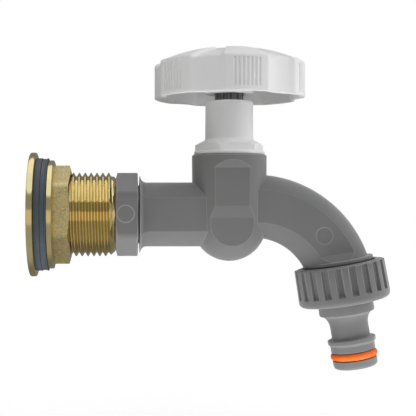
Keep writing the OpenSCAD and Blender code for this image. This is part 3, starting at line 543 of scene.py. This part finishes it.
class TAP_OT_tank_fitting(bpy.types.Operator):
    """Brass tube with its flange, helical thread and waterway"""
    bl_idname = "tap.tank_fitting"
    bl_label = "Tank fitting"

    def execute(self, context):
        sizes = context.scene.tap_brass
        radius, flange = sizes.tube_d / 2, sizes.flange_d / 2
        low, high = FITTING_LEFT + sizes.flange_t, FITTING_RIGHT
        # Thread from just inside the flange, with a crest on the underside at crest_at
        thread_low, crest_at = low - 0.3, 9.86
        bm = thread_tube(radius, sizes.depth, sizes.pitch, thread_low, high, crest_at)
        # The lead-in cone that the last turns run out on
        lead_in_r, growth = 13.0, 0.95
        for vert in bm.verts:
            cone = lead_in_r + (high - vert.co.z) * growth
            if math.hypot(vert.co.x, vert.co.y) > cone:
                set_radius(vert, cone)
        # Waterway: the tap's inlet thread goes into the wider bore
        inlet = MOUNTS["waterway_inlet"]["dims"]
        bore, thread_bore = inlet["r_mm"], 10.5
        inner_end = FITTING_LEFT + inlet["length_mm"]
        edges = drawn_on(bm, rim_edges(bm, high), [
            (thread_bore + 0.5, high), (thread_bore, high - 0.5), (thread_bore, inner_end + 0.4),
            (thread_bore - 0.4, inner_end), (bore, inner_end), (bore, FITTING_LEFT + 0.4), (bore + 0.4, FITTING_LEFT),
        ])
        # Flange with rounded edges, in two steps each
        edge, root = 0.55, radius - sizes.depth
        corner = edge * 0.3
        edges = drawn_on(bm, edges, [
            (flange - edge, FITTING_LEFT), (flange - corner, FITTING_LEFT + corner), (flange, FITTING_LEFT + edge),
            (flange, low - edge), (flange - corner, low - corner), (flange - edge, low), (root, low),
            (root - 0.2, low - 0.15),
        ])
        bmesh.ops.bridge_loops(bm, edges=edges + rim_edges(bm, thread_low))
        bmesh.ops.recalc_face_normals(bm, faces=bm.faces)
        piece = finish(bm, "brass_tank_fitting", "brass", "tap", laid_along_x(), ["tank_fitting"])
        # Everything right of the flange and outside the wall's middle is thread
        wall_middle = 12
        refinish(piece, "thread", lambda face, x, r: x > low + 0.05 and r > wall_middle)
        return {"FINISHED"}


class TAP_OT_flange_nut(bpy.types.Operator):
    """Brass nut: a turned flange with a forged hexagon"""
    bl_idname = "tap.flange_nut"
    bl_label = "Flange nut"

    def execute(self, context):
        sizes = context.scene.tap_brass
        left, right = extent("flange_nut", 0)
        flange, bore = sizes.nut_flange_d / 2, sizes.tube_d / 2 + 0.05
        step = left + sizes.nut_flange_t
        corner, face_r = hex_corner(sizes.hex_w), sizes.hex_w / 2 - FACE_RIM
        outline = rounded([
            (bore, left, 0), (flange, left, 0.3), (flange, step - 0.5, 0.2), (corner, step, 0),
            (corner, step + 0.35, 0), (corner, right - 1, 0), (face_r, right, 0), (bore, right, 0.15)
        ])
        bm = spun(outline, 144)
        foot, bevel = outline.index((corner, step)), outline.index((corner, right - 1))
        shape_hexagon(bm, sizes.hex_w, range(foot, bevel + 1), bevel, (face_r, right, -FACE_SLOPE))
        turned = laid_along_x() @ Matrix.Rotation(math.radians(sizes.hex_turn), 4, "Z")
        piece = finish(bm, "brass_flange_nut", "brass", "flange_nut", turned, ["flange_nut"])
        # The hexagon's sides are left as forged
        inside = sizes.hex_w / 2 - 0.3
        refinish(piece, "forged", lambda face, x, r: x > step + 0.02 and r > inside and abs(face.normal.x) < 0.3)
        return {"FINISHED"}


class TAP_OT_gaskets(bpy.types.Operator):
    """The two flat rubber gaskets, with flash left by the mould"""
    bl_idname = "tap.gaskets"
    bl_label = "Gaskets"

    def execute(self, context):
        # Each gasket's node, its body, and how far its flash stands out at the right edge
        for node, body, flash in (("inner_gasket", "tap", 0.05), ("outer_gasket", "outer_gasket", 0.25)):
            left, right = extent(node, 0)
            radius = extent(node, 1)[1]
            bore, gap = context.scene.tap_brass.tube_d / 2 + 0.1, 0.02
            bm = spun(rounded([
                (bore, left + gap, 0), (radius - flash, left + gap, 0.2), (radius - flash, right - 0.5, 0),
                (radius, right - 0.25, 0), (radius - 0.05, right - gap, 0), (bore, right - gap, 0)
            ]), 160)
            finish(bm, "rubber_" + node, "rubber", body, laid_along_x(), [node])
        return {"FINISHED"}


class TAP_OT_lock_nut(bpy.types.Operator):
    """Plastic lock nut, with room for its seal on the left"""
    bl_idname = "tap.lock_nut"
    bl_label = "Lock nut"

    def execute(self, context):
        width = context.scene.tap_plastic.lock_w
        left, right = extent("lock_nut", 0)
        seal_r, seal_end = extent("inlet_seal", 1)[1] + 0.1, left + 1.5
        bore, corner, face_r, edge = 10.5, hex_corner(width), width / 2 - FACE_RIM, 0.3
        outline = [
            (seal_r, left), (face_r, left), (corner, left + 1.2), (corner, right - edge), (corner - edge, right),
            (bore + edge, right), (bore, right - edge), (bore, seal_end), (seal_r, seal_end)
        ]
        bevel, side, end = 2, 3, 4
        bm = spun(outline, 144)
        shape_hexagon(bm, width, (bevel, side), bevel, (face_r, left, FACE_SLOPE))
        ring = bm.verts.layers.int["ring"]
        for vert in bm.verts:
            if vert[ring] == end:
                set_radius(vert, hex_radius(around(vert), width) - edge)
        finish(bm, "plastic_lock_nut", "body_plastic", "lock_nut", laid_along_x(), ["lock_nut"])
        return {"FINISHED"}


# Tap body

class TAP_OT_body(bpy.types.Operator):
    """The moulded body: its solid, with edges that its material rounds as a mould leaves them"""
    bl_idname = "tap.body"
    bl_label = "Body"

    def execute(self, context):
        dress("tap_body", "body_plastic")
        return {"FINISHED"}


class TAP_OT_bonnet(bpy.types.Operator):
    """Bonnet: collar, hexagon and sleeve in one light grey moulding"""
    bl_idname = "tap.bonnet"
    bl_label = "Bonnet"

    def execute(self, context):
        sizes = context.scene.tap_plastic
        foot, top = extent("bonnet", 2)
        collar, collar_r = foot + 9.0, extent("bonnet", 1)[1]
        hexagon, sleeve, cone = collar + 1.1, collar + 5.1, 1.9
        # The corners of this small hexagon are nearly sharp
        sleeve_r, corner_cut = sizes.sleeve_d / 2, 0.1
        foot_r, corner = sleeve_r + 0.3, hex_corner(sizes.bonnet_w, corner_cut)
        stem_r, room_r, room_top = 5.2, 10.4, foot + 5
        outline = rounded([
            (stem_r, top, 0.3), (stem_r, room_top, 0), (room_r, room_top, 0), (room_r, collar, 0),
            (collar_r - 0.2, collar, 0), (collar_r - 0.05, collar + 0.15, 0), (collar_r - 0.05, hexagon - 0.2, 0),
            (collar_r - 0.2, hexagon, 0), (corner, hexagon, 0), (corner, hexagon + 0.3, 0), (corner, sleeve - cone, 0),
            (foot_r, sleeve, 0.2), (sleeve_r, sleeve + 0.5, 0.3), (sleeve_r - 0.1, top, 0.8),
        ])
        bm = spun(outline, 144)
        first, last = outline.index((corner, hexagon)), outline.index((corner, sleeve - cone))
        # A cone leads from the hexagon's corners to the sleeve's foot
        to_sleeve = (foot_r, sleeve, -cone / (corner - foot_r))
        shape_hexagon(bm, sizes.bonnet_w, range(first, last + 1), last, to_sleeve, corner_cut)
        turn = laid_on_valve() @ Matrix.Rotation(math.radians(sizes.bonnet_turn), 4, "Z")
        finish(bm, "plastic_bonnet", "head_plastic", "tap", turn, ["bonnet"], sharp=24)
        return {"FINISHED"}


# Handwheel

def smooth_min(a, b, width):
    """Smaller of two sizes, with a soft change from one to the other."""
    near = max(width - abs(a - b), 0) / width
    return min(a, b) - near * near * width / 4


def smooth_step(value):
    """0 below 0, 1 above 1, and soft between."""
    value = min(1, max(0, value))
    return value * value * (3 - 2 * value)


class TAP_OT_handwheel(bpy.types.Operator):
    """Handwheel with lobes, ribs, raised petals and a hollow underside"""
    bl_idname = "tap.handwheel"
    bl_label = "Handwheel"
    # Height of the dome's centre, radii of the dome, the hollow and the hub, the wall and the top edge's rounding
    DOME_Z, DOME_R, HOLLOW_R, HUB_R, WALL, EDGE = -4.1, 63, 60.8, 8.7, 2.0, 1.3
    # Half a petal's angle, the angle of its fade, and the share that a hollow takes of the way to the next lobe
    PETAL, FADE, HOLLOW_SHARE = 19.6, 2.6, 0.45

    def execute(self, context):
        self.sizes = context.scene.tap_wheel
        low = extent("handwheel", 2)[0]
        cap_r, cap_z = extent("handwheel_cap", 1)[1] + 0.05, extent("handwheel_cap", 2)[0]
        self.cap_r = cap_r
        bore, hub, wall = 5.5, self.HUB_R, self.WALL
        # Rings of the turned shape, from the bore round the hollow to the cap's seat: (kind, along, height)
        spots = [("fixed", r, low + height) for r, height in (
            (bore, 10.4), (bore, 2.0), (bore + 0.3, 1.7), (hub - 0.5, 1.7), (hub - 0.15, 1.85), (hub, 2.2))]
        spots += [("under", 0, -1.0), ("under", 0.02, -0.3)]
        spots += [("under", share, 0) for share in (0.06, 0.2, 0.4, 0.6, 0.8, 0.94)]
        spots += [("under", 0.985, -0.3), ("wall", wall, -1.0)]
        spots += [("wall", depth, low + height) for depth, height in (
            (wall, 0.5), (wall - 0.15, 0.15), (wall - 0.5, 0), (0.5, 0), (0.15, 0.15), (0, 0.5), (0, 1.35))]
        spots += [("rib", depth, low + height) for depth, height in (
            (0, 1.5), (1, 1.75), (1, 6.6), (1, 11.3), (0, 11.6))]
        spots += [("edge", angle, 0) for angle in (0, 22.5, 45, 67.5, 90)]
        spots += [("dome", share, 0) for share in (0.05, 0.12, 0.2, 0.3, 0.4, 0.5, 0.6, 0.7, 0.8, 0.9, 0.97, 1.0)]
        spots += [("fixed", cap_r, cap_z + 0.1), ("fixed", cap_r - 1, cap_z), ("fixed", bore, cap_z)]
        # Spun from a plain line, whose rings then go to their places
        bm = spun([(10 + i * 0.01, i * 0.1) for i in range(len(spots))], 960, 12)
        ring = bm.verts.layers.int["ring"]
        for vert in bm.verts:
            kind, along, height = spots[vert[ring]]
            angle = around(vert)
            r, z = self.spot(kind, along, height, math.degrees(angle))
            vert.co = (r * math.cos(angle), r * math.sin(angle), z)
        bmesh.ops.recalc_face_normals(bm, faces=bm.faces)
        finish(bm, "plastic_handwheel", "head_plastic", "handwheel", laid_on_valve(), ["handwheel"], sharp=28)
        return {"FINISHED"}

    def off_lobe(self, degrees):
        """Angle from the nearest lobe's middle."""
        step = 360 / self.sizes.lobes
        return (degrees - self.sizes.turn + step / 2) % step - step / 2

    def rim(self, degrees):
        """Outer radius at an angle: a circle with round hollows between the lobes."""
        full, step = self.sizes.wheel_d / 2, 180 / self.sizes.lobes
        off = math.radians(step - abs(self.off_lobe(degrees)))
        half = math.radians(self.HOLLOW_SHARE * step)
        depth = self.sizes.hollow
        back = full * math.cos(half) - full + depth
        s = (back * back + (full * math.sin(half)) ** 2) / (2 * back)
        c = full - depth + s
        inside = s * s - (c * math.sin(off)) ** 2
        hollow = c * math.cos(off) - math.sqrt(inside) if inside > 0 else 2 * full
        return smooth_min(full, hollow, 0.5)

    def petal(self, degrees):
        """Share of a petal's height at an angle."""
        return smooth_step((self.PETAL - abs(self.off_lobe(degrees))) / self.FADE)

    def dome(self, r, degrees):
        """Height of the wheel's top."""
        return self.DOME_Z + math.sqrt(self.DOME_R ** 2 - r ** 2) + self.petal(degrees)

    def ceiling(self, r):
        """Height of the hollow below the top."""
        return self.DOME_Z + math.sqrt(self.HOLLOW_R ** 2 - r ** 2)

    def groove(self, degrees):
        """Depth between the ribs at an angle."""
        off, pitch = self.off_lobe(degrees), self.sizes.rib_pitch
        if abs(off) > 3.5 * pitch:
            return 0
        wave = (1 + math.cos(2 * math.pi * off / pitch)) / 2
        return self.sizes.rib_depth * smooth_step((wave - 0.25) / 0.5)

    def spot(self, kind, along, height, degrees):
        """Radius and height of a ring at an angle."""
        full, edge = self.rim(degrees), self.EDGE
        if kind == "fixed":
            return along, height
        if kind == "under":
            r = self.HUB_R + along * (full - self.WALL - self.HUB_R)
            return r, self.ceiling(r) + height
        if kind == "wall":
            r = full - along
            return r, height if height > 0 else self.ceiling(r) + height
        if kind == "rib":
            # Between the petals the top edge starts lower, and the ends of the gaps stay below it
            start = self.dome(full - edge, degrees) - edge
            return full - along * self.groove(degrees), min(height, start - 0.1 - 0.3 * along)
        if kind == "edge":
            turn = math.radians(along)
            top = self.dome(full - edge, degrees)
            return full - edge * (1 - math.cos(turn)), top - edge * (1 - math.sin(turn))
        r = (full - edge) + along * (self.cap_r - full + edge)
        return r, self.dome(r, degrees)


# Outlet

class TAP_OT_coupling_nut(bpy.types.Operator):
    """Grooved nut that holds the hose nipple"""
    bl_idname = "tap.coupling_nut"
    bl_label = "Coupling nut"

    def execute(self, context):
        grooves, width, depth, length = 21, 2.4, 1.1, 10.4
        # The wall widens downwards over the taper's height
        top_r, low_r, taper, height = 16.1, 16.35, 12.3, 13.5
        bore, hole, shelf, lip = 13.0, 9.95, 2.8, 0.4
        # A lip stands above the top
        outline = [(bore, 0.2), (bore + 0.3, -lip), (bore + 1.2, -lip), (bore + 1.4, 0)]
        first_groove = len(outline)
        outline += [(top_r - 0.2, 0), (top_r - 0.06, 0.06), (top_r, 0.2)]
        outline += [(top_r + (low_r - top_r) * s / taper, s) for s in (3, 6, 9, length - 0.35, length)]
        last_groove = len(outline) - 2
        outline += quarter(low_r, height, 1.8)
        outline += [(hole + 0.3, height), (hole, height - 0.3), (hole, height - shelf), (bore, height - shelf)]
        bm = spun(outline, grooves * 24, grooves)
        ring = bm.verts.layers.int["ring"]
        # Half a groove's angle, and the turn of the grooves from the front
        half = math.degrees(width / 2 / top_r)
        pitch, turn = 360 / grooves, 3.4
        for vert in bm.verts:
            if first_groove <= vert[ring] <= last_groove:
                off = abs((math.degrees(around(vert)) + 90 + turn + pitch / 2) % pitch - pitch / 2)
                share = smooth_step((half + 0.15 - off) / 0.5)
                floor = (top_r - depth) / math.cos(math.radians(min(off, half)))
                r = math.hypot(vert.co.x, vert.co.y)
                set_radius(vert, r + (min(r, floor) - r) * share)
        finish(bm, "plastic_coupling_nut", "nut_plastic", "coupling_nut", laid_on_outlet(), ["coupling_nut"], sharp=40)
        return {"FINISHED"}


class TAP_OT_nipple(bpy.types.Operator):
    """Hose nipple with its collar, catch and orange ring"""
    bl_idname = "tap.nipple"
    bl_label = "Nipple"

    def execute(self, context):
        # Radii of the nipple's parts, then their depths below the nut's top
        bore, flange, collar, waist, catch, nose = 5, 12.9, 9.85, 6.8, 8.57, 7.9
        top, flange_end, under, foot, step, end = 9.3, 11.2, 17.6, 26.8, 29.3, 37.3
        sweep, long_sweep = collar - waist, 4.6
        # The ring's groove: its middle, half its width and its floor's radius; then the ring's two radii
        groove, gap, floor = 32.7, 1.55, 5.8
        ring_r, section_r = 7.1, 1.3
        outline = [
            (bore, top + 0.3), (bore + 0.3, top), (flange - 0.2, top), (flange, top + 0.2),
            (flange, flange_end - 0.2), (flange - 0.2, flange_end), (collar, flange_end), (collar, under - 0.3),
            (collar - 0.08, under - 0.1),
        ]
        # Concave sweep from the collar's underside down to the waist
        outline += [
            (collar + sweep * math.cos(a), under + long_sweep + long_sweep * math.sin(a))
            for a in [math.radians(-96 - 12 * k) for k in range(8)]
        ]
        outline += [
            (waist, foot - 0.15), (waist + 0.15, foot), (catch - 0.15, foot), (catch, foot + 0.15),
            (catch - 0.05, foot + 1.3), (nose + 0.05, foot + 1.9), (nose, step), (nose, groove - gap - 0.1),
            (nose - 0.1, groove - gap), (floor + 0.15, groove - gap), (floor, groove - gap + 0.15),
            (floor, groove + gap - 0.15), (floor + 0.15, groove + gap), (nose - 0.1, groove + gap),
            (nose, groove + gap + 0.1),
        ]
        outline += quarter(nose, end, 1.4) + [(bore + 0.4, end), (bore, end - 0.4)]
        bm = spun(outline, 128)
        finish(bm, "plastic_nipple", "nut_plastic", "nipple", laid_on_outlet(), ["hose_nipple"])
        section = [
            (ring_r + section_r * math.cos(a), groove + section_r * math.sin(a))
            for a in [k * math.pi / 8 for k in range(16)]
        ]
        finish(spun(section, 128), "orange_ring", "ring_rubber", "nipple", laid_on_outlet(), ["nipple_ring"])
        return {"FINISHED"}


class TAP_OT_inner_pieces(bpy.types.Operator):
    """Spindle, valve, seals, screws and cap: the solids with their materials"""
    bl_idname = "tap.inner_pieces"
    bl_label = "Inner pieces"

    def execute(self, context):
        for part in RECORD["subparts"]:
            node = frame["nodes"][part["node"]]
            if not node.hide_render and part["node"] != "tap_body":
                dress(part["node"], part["material_slot"])
        dress("handwheel_cap", "head_plastic", 0.3)
        return {"FINISHED"}


# Stage

class TAP_OT_stage(bpy.types.Operator):
    """Camera, pale table and the light tent round the tap"""
    bl_idname = "tap.stage"
    bl_label = "Stage"

    def execute(self, context):
        scene = context.scene
        scene.view_settings.view_transform = "Standard"
        camera = bpy.data.cameras.new("camera")
        camera.lens = 86.6
        camera.sensor_width = 36
        camera.clip_start = 0.01
        eye = bpy.data.objects.new("camera", camera)
        scene.collection.objects.link(eye)
        # The photograph is taken from in front of the brass nut. At the tap, the camera looks 6 mm to the right of
        # that, and its frame's middle is 31 mm to the right
        away, aim, middle = 360, 6.0, 31.26
        eye_x, eye_z = 28.0, 2.32
        eye.location = Vector((eye_x, -away, eye_z)) * MM
        eye.rotation_euler = (math.pi / 2, 0, -math.atan(aim / away))
        lean = math.atan(middle / away) - math.atan(aim / away)
        camera.shift_x = math.tan(lean) * camera.lens / camera.sensor_width
        scene.camera = eye
        self.tent(scene)
        self.table()
        return {"FINISHED"}

    def tent(self, scene):
        """Light tent: what metal mirrors of it, and the light that it throws on everything"""
        world = bpy.data.worlds.new("light_tent")
        scene.world = world
        world.use_nodes = True
        tree = world.node_tree
        cloth = tree.nodes["Background"]
        place = add(tree, "ShaderNodeTexCoord")
        parts = add(tree, "ShaderNodeSeparateXYZ", [("Vector", place.outputs["Generated"])])
        level = add(tree, "ShaderNodeMapRange", [("Value", parts.outputs["Z"])], From_Min=-1.0)
        # Sines of the heights at which the front of the tent changes, as metal mirrors it: the table's
        # dark edge, the cloth behind the camera, the gap over the camera, and the bright roof
        warm, cool = 0.8, 1.15
        mirrored = self.ramp(tree, level, (
            (-1.0, 0.3, warm), (-0.40, 0.36, warm), (-0.395, 0.04), (-0.372, 0.04), (-0.367, 0.58, warm),
            (0.145, 0.58, warm), (0.150, 0.26), (0.61, 0.26), (0.635, 0.83, cool), (1.0, 0.83, cool),
        ))
        # The roof reaches over the tap and ends behind it, above a dimmer cloth
        behind = self.ramp(tree, level, ((-1.0, 0.3), (-0.2, 0.16), (0.775, 0.2), (0.805, 0.95), (1.0, 0.95)))
        # The front takes in the sides too: it begins where Y less 0.8 of the way sideways is below -0.15
        sideways = add(tree, "ShaderNodeMath", [(0, parts.outputs["X"])], operation="ABSOLUTE")
        depth = add(tree, "ShaderNodeMath", [
            (0, sideways.outputs[0]), (1, -0.8), (2, parts.outputs["Y"])], operation="MULTIPLY_ADD")
        front = add(tree, "ShaderNodeMapRange", [("Value", depth.outputs[0])], From_Min=-0.15, From_Max=-0.35)
        mirror = add(tree, "ShaderNodeMix", [
            ("Factor", front.outputs["Result"]), ("A", behind), ("B", mirrored)], data_type="RGBA")
        # Strengths: 1.22 for what is mirrored, and below 1.6 for what is thrown
        bright = add(tree, "ShaderNodeMix", [
            ("A", mirror.outputs["Result"])], data_type="RGBA", blend_type="MULTIPLY", Factor=1,
            B=(1.22, 1.22, 1.22, 1))
        # Light thrown on matt surfaces: from the front and the roof it goes by height, and from the sides and
        # behind it grows from left to right
        thrown = self.ramp(tree, level, ((-1.0, 0.18), (0.1, 0.18), (0.4, 0.62), (0.62, 0.9), (0.8, 0.6), (1.0, 0.3)))
        across = add(tree, "ShaderNodeMapRange", [
            ("Value", parts.outputs["X"])], From_Min=-0.8, From_Max=0.8, To_Min=0.14, To_Max=0.8)
        aside = add(tree, "ShaderNodeMapRange", [("Value", parts.outputs["Y"])], From_Min=-0.85, From_Max=-0.6)
        roof = add(tree, "ShaderNodeMapRange", [("Value", parts.outputs["Z"])], From_Min=0.6, From_Max=0.85)
        side = add(tree, "ShaderNodeMath", [(0, aside.outputs[0]), (1, roof.outputs[0])], operation="SUBTRACT",
                   use_clamp=True)
        soft = add(tree, "ShaderNodeMix", [
            ("Factor", side.outputs[0]), ("A", thrown), ("B", across.outputs[0])], data_type="RGBA")
        strong = add(tree, "ShaderNodeMix", [
            ("A", soft.outputs["Result"])], data_type="RGBA", blend_type="MULTIPLY", Factor=1, B=(1.6, 1.6, 1.6, 1))
        path = add(tree, "ShaderNodeLightPath")
        light = add(tree, "ShaderNodeMix", [
            ("Factor", path.outputs["Is Glossy Ray"]), ("A", strong.outputs["Result"]),
            ("B", bright.outputs["Result"])], data_type="RGBA")
        seen = add(tree, "ShaderNodeMix", [
            ("Factor", path.outputs["Is Camera Ray"]), ("A", light.outputs["Result"])], data_type="RGBA",
            B=(1, 1, 1, 1))
        tree.links.new(seen.outputs["Result"], cloth.inputs["Color"])

    def ramp(self, tree, level, stops):
        """Output of a colour ramp with stops of sine of height, brightness, and how blue it is."""
        ramp = add(tree, "ShaderNodeValToRGB", [("Fac", level.outputs["Result"])])
        ends = ramp.color_ramp.elements
        while len(ends) < len(stops):
            ends.new(0.5)
        for end, (height, light, *blue) in zip(ends, stops):
            blue = blue[0] if blue else 1
            end.position = (height + 1) / 2
            end.color = (light, light * (1 + blue) / 2, light * blue, 1)
        return ramp.outputs["Color"]

    def table(self):
        """White light table below the tap, which ends in front of it"""
        bm = bmesh.new()
        bmesh.ops.create_grid(bm, x_segments=1, y_segments=1, size=1)
        # Two metres wide and deep, from 0.27 m in front of the tap, and 30 mm below it
        middle, drop = 0.73, 0.03
        bmesh.ops.transform(bm, matrix=Matrix.Translation((0, middle, CAD_BOX[0][2] - drop)), verts=bm.verts)
        # Opal acrylic: pure white to the camera where nothing shades it, and lit from below in one strip
        material, tree, surface = started("opal_acrylic", linear("#f2f2f2"), 0.6, Emission_Color=(1, 1, 1, 1))
        place = add(tree, "ShaderNodeTexCoord").outputs["Object"]
        parts = add(tree, "ShaderNodeSeparateXYZ", [("Vector", place)])
        start = add(tree, "ShaderNodeMapRange", [("Value", parts.outputs["Y"])], From_Min=-0.075, From_Max=-0.055)
        stop = add(tree, "ShaderNodeMapRange", [("Value", parts.outputs["Y"])], From_Min=0.01, From_Max=-0.02)
        strip = add(tree, "ShaderNodeMath", [(0, start.outputs[0]), (1, stop.outputs[0])], operation="MULTIPLY")
        glow = add(tree, "ShaderNodeMapRange", [("Value", strip.outputs[0])], To_Min=0.1, To_Max=3.4)
        path = add(tree, "ShaderNodeLightPath")
        # Metal mirrors it darker behind the tap, where the tap shades it
        shade = add(tree, "ShaderNodeMapRange", [
            ("Value", parts.outputs["Y"])], From_Min=-0.02, From_Max=0.02, To_Min=0.27, To_Max=0.1)
        mirrored = add(tree, "ShaderNodeMix", [
            ("Factor", path.outputs["Is Glossy Ray"]), ("A", glow.outputs[0]), ("B", shade.outputs[0])])
        seen = add(tree, "ShaderNodeMix", [
            ("Factor", path.outputs["Is Camera Ray"]), ("A", mirrored.outputs["Result"])], B=0.35)
        tree.links.new(seen.outputs["Result"], surface.inputs["Emission Strength"])
        tone = add(tree, "ShaderNodeMix", [
            ("Factor", path.outputs["Is Camera Ray"])], data_type="RGBA", A=(0.1, 0.1, 0.1, 1),
            B=(*linear("#f2f2f2"), 1))
        tree.links.new(tone.outputs["Result"], surface.inputs["Base Color"])
        shown(bm, "table", material)


OPERATORS = (
    TAP_OT_stage, TAP_OT_tank_fitting, TAP_OT_flange_nut, TAP_OT_gaskets, TAP_OT_lock_nut, TAP_OT_body,
    TAP_OT_bonnet, TAP_OT_handwheel, TAP_OT_coupling_nut, TAP_OT_nipple, TAP_OT_inner_pieces,
)
GROUPS = {"tap_brass": BrassSizes, "tap_plastic": PlasticSizes, "tap_wheel": WheelSizes, "tap_colours": TapColours}


class TAP_PT_panel(bpy.types.Panel):
    """Sidebar panel with one button for each group of pieces"""
    bl_label = "Bib tap"
    bl_idname = "TAP_PT_panel"
    bl_space_type = "VIEW_3D"
    bl_region_type = "UI"
    bl_category = "Bib tap"

    def draw(self, context):
        for operator in OPERATORS:
            self.layout.operator(operator.bl_idname)
        for group in GROUPS:
            box = self.layout.box()
            for key in getattr(context.scene, group).__annotations__:
                box.prop(getattr(context.scene, group), key)


def register():
    for group in GROUPS.values():
        bpy.utils.register_class(group)
    for name, group in GROUPS.items():
        setattr(bpy.types.Scene, name, PointerProperty(type=group))
    for operator in OPERATORS:
        bpy.utils.register_class(operator)
    bpy.utils.register_class(TAP_PT_panel)


def unregister():
    bpy.utils.unregister_class(TAP_PT_panel)
    for operator in reversed(OPERATORS):
        bpy.utils.unregister_class(operator)
    for name, group in GROUPS.items():
        delattr(bpy.types.Scene, name)
        bpy.utils.unregister_class(group)


def main():
    register()
    for operator in OPERATORS:
        package, name = operator.bl_idname.split(".")
        getattr(getattr(bpy.ops, package), name)()


if __name__ == "__main__":
    main()
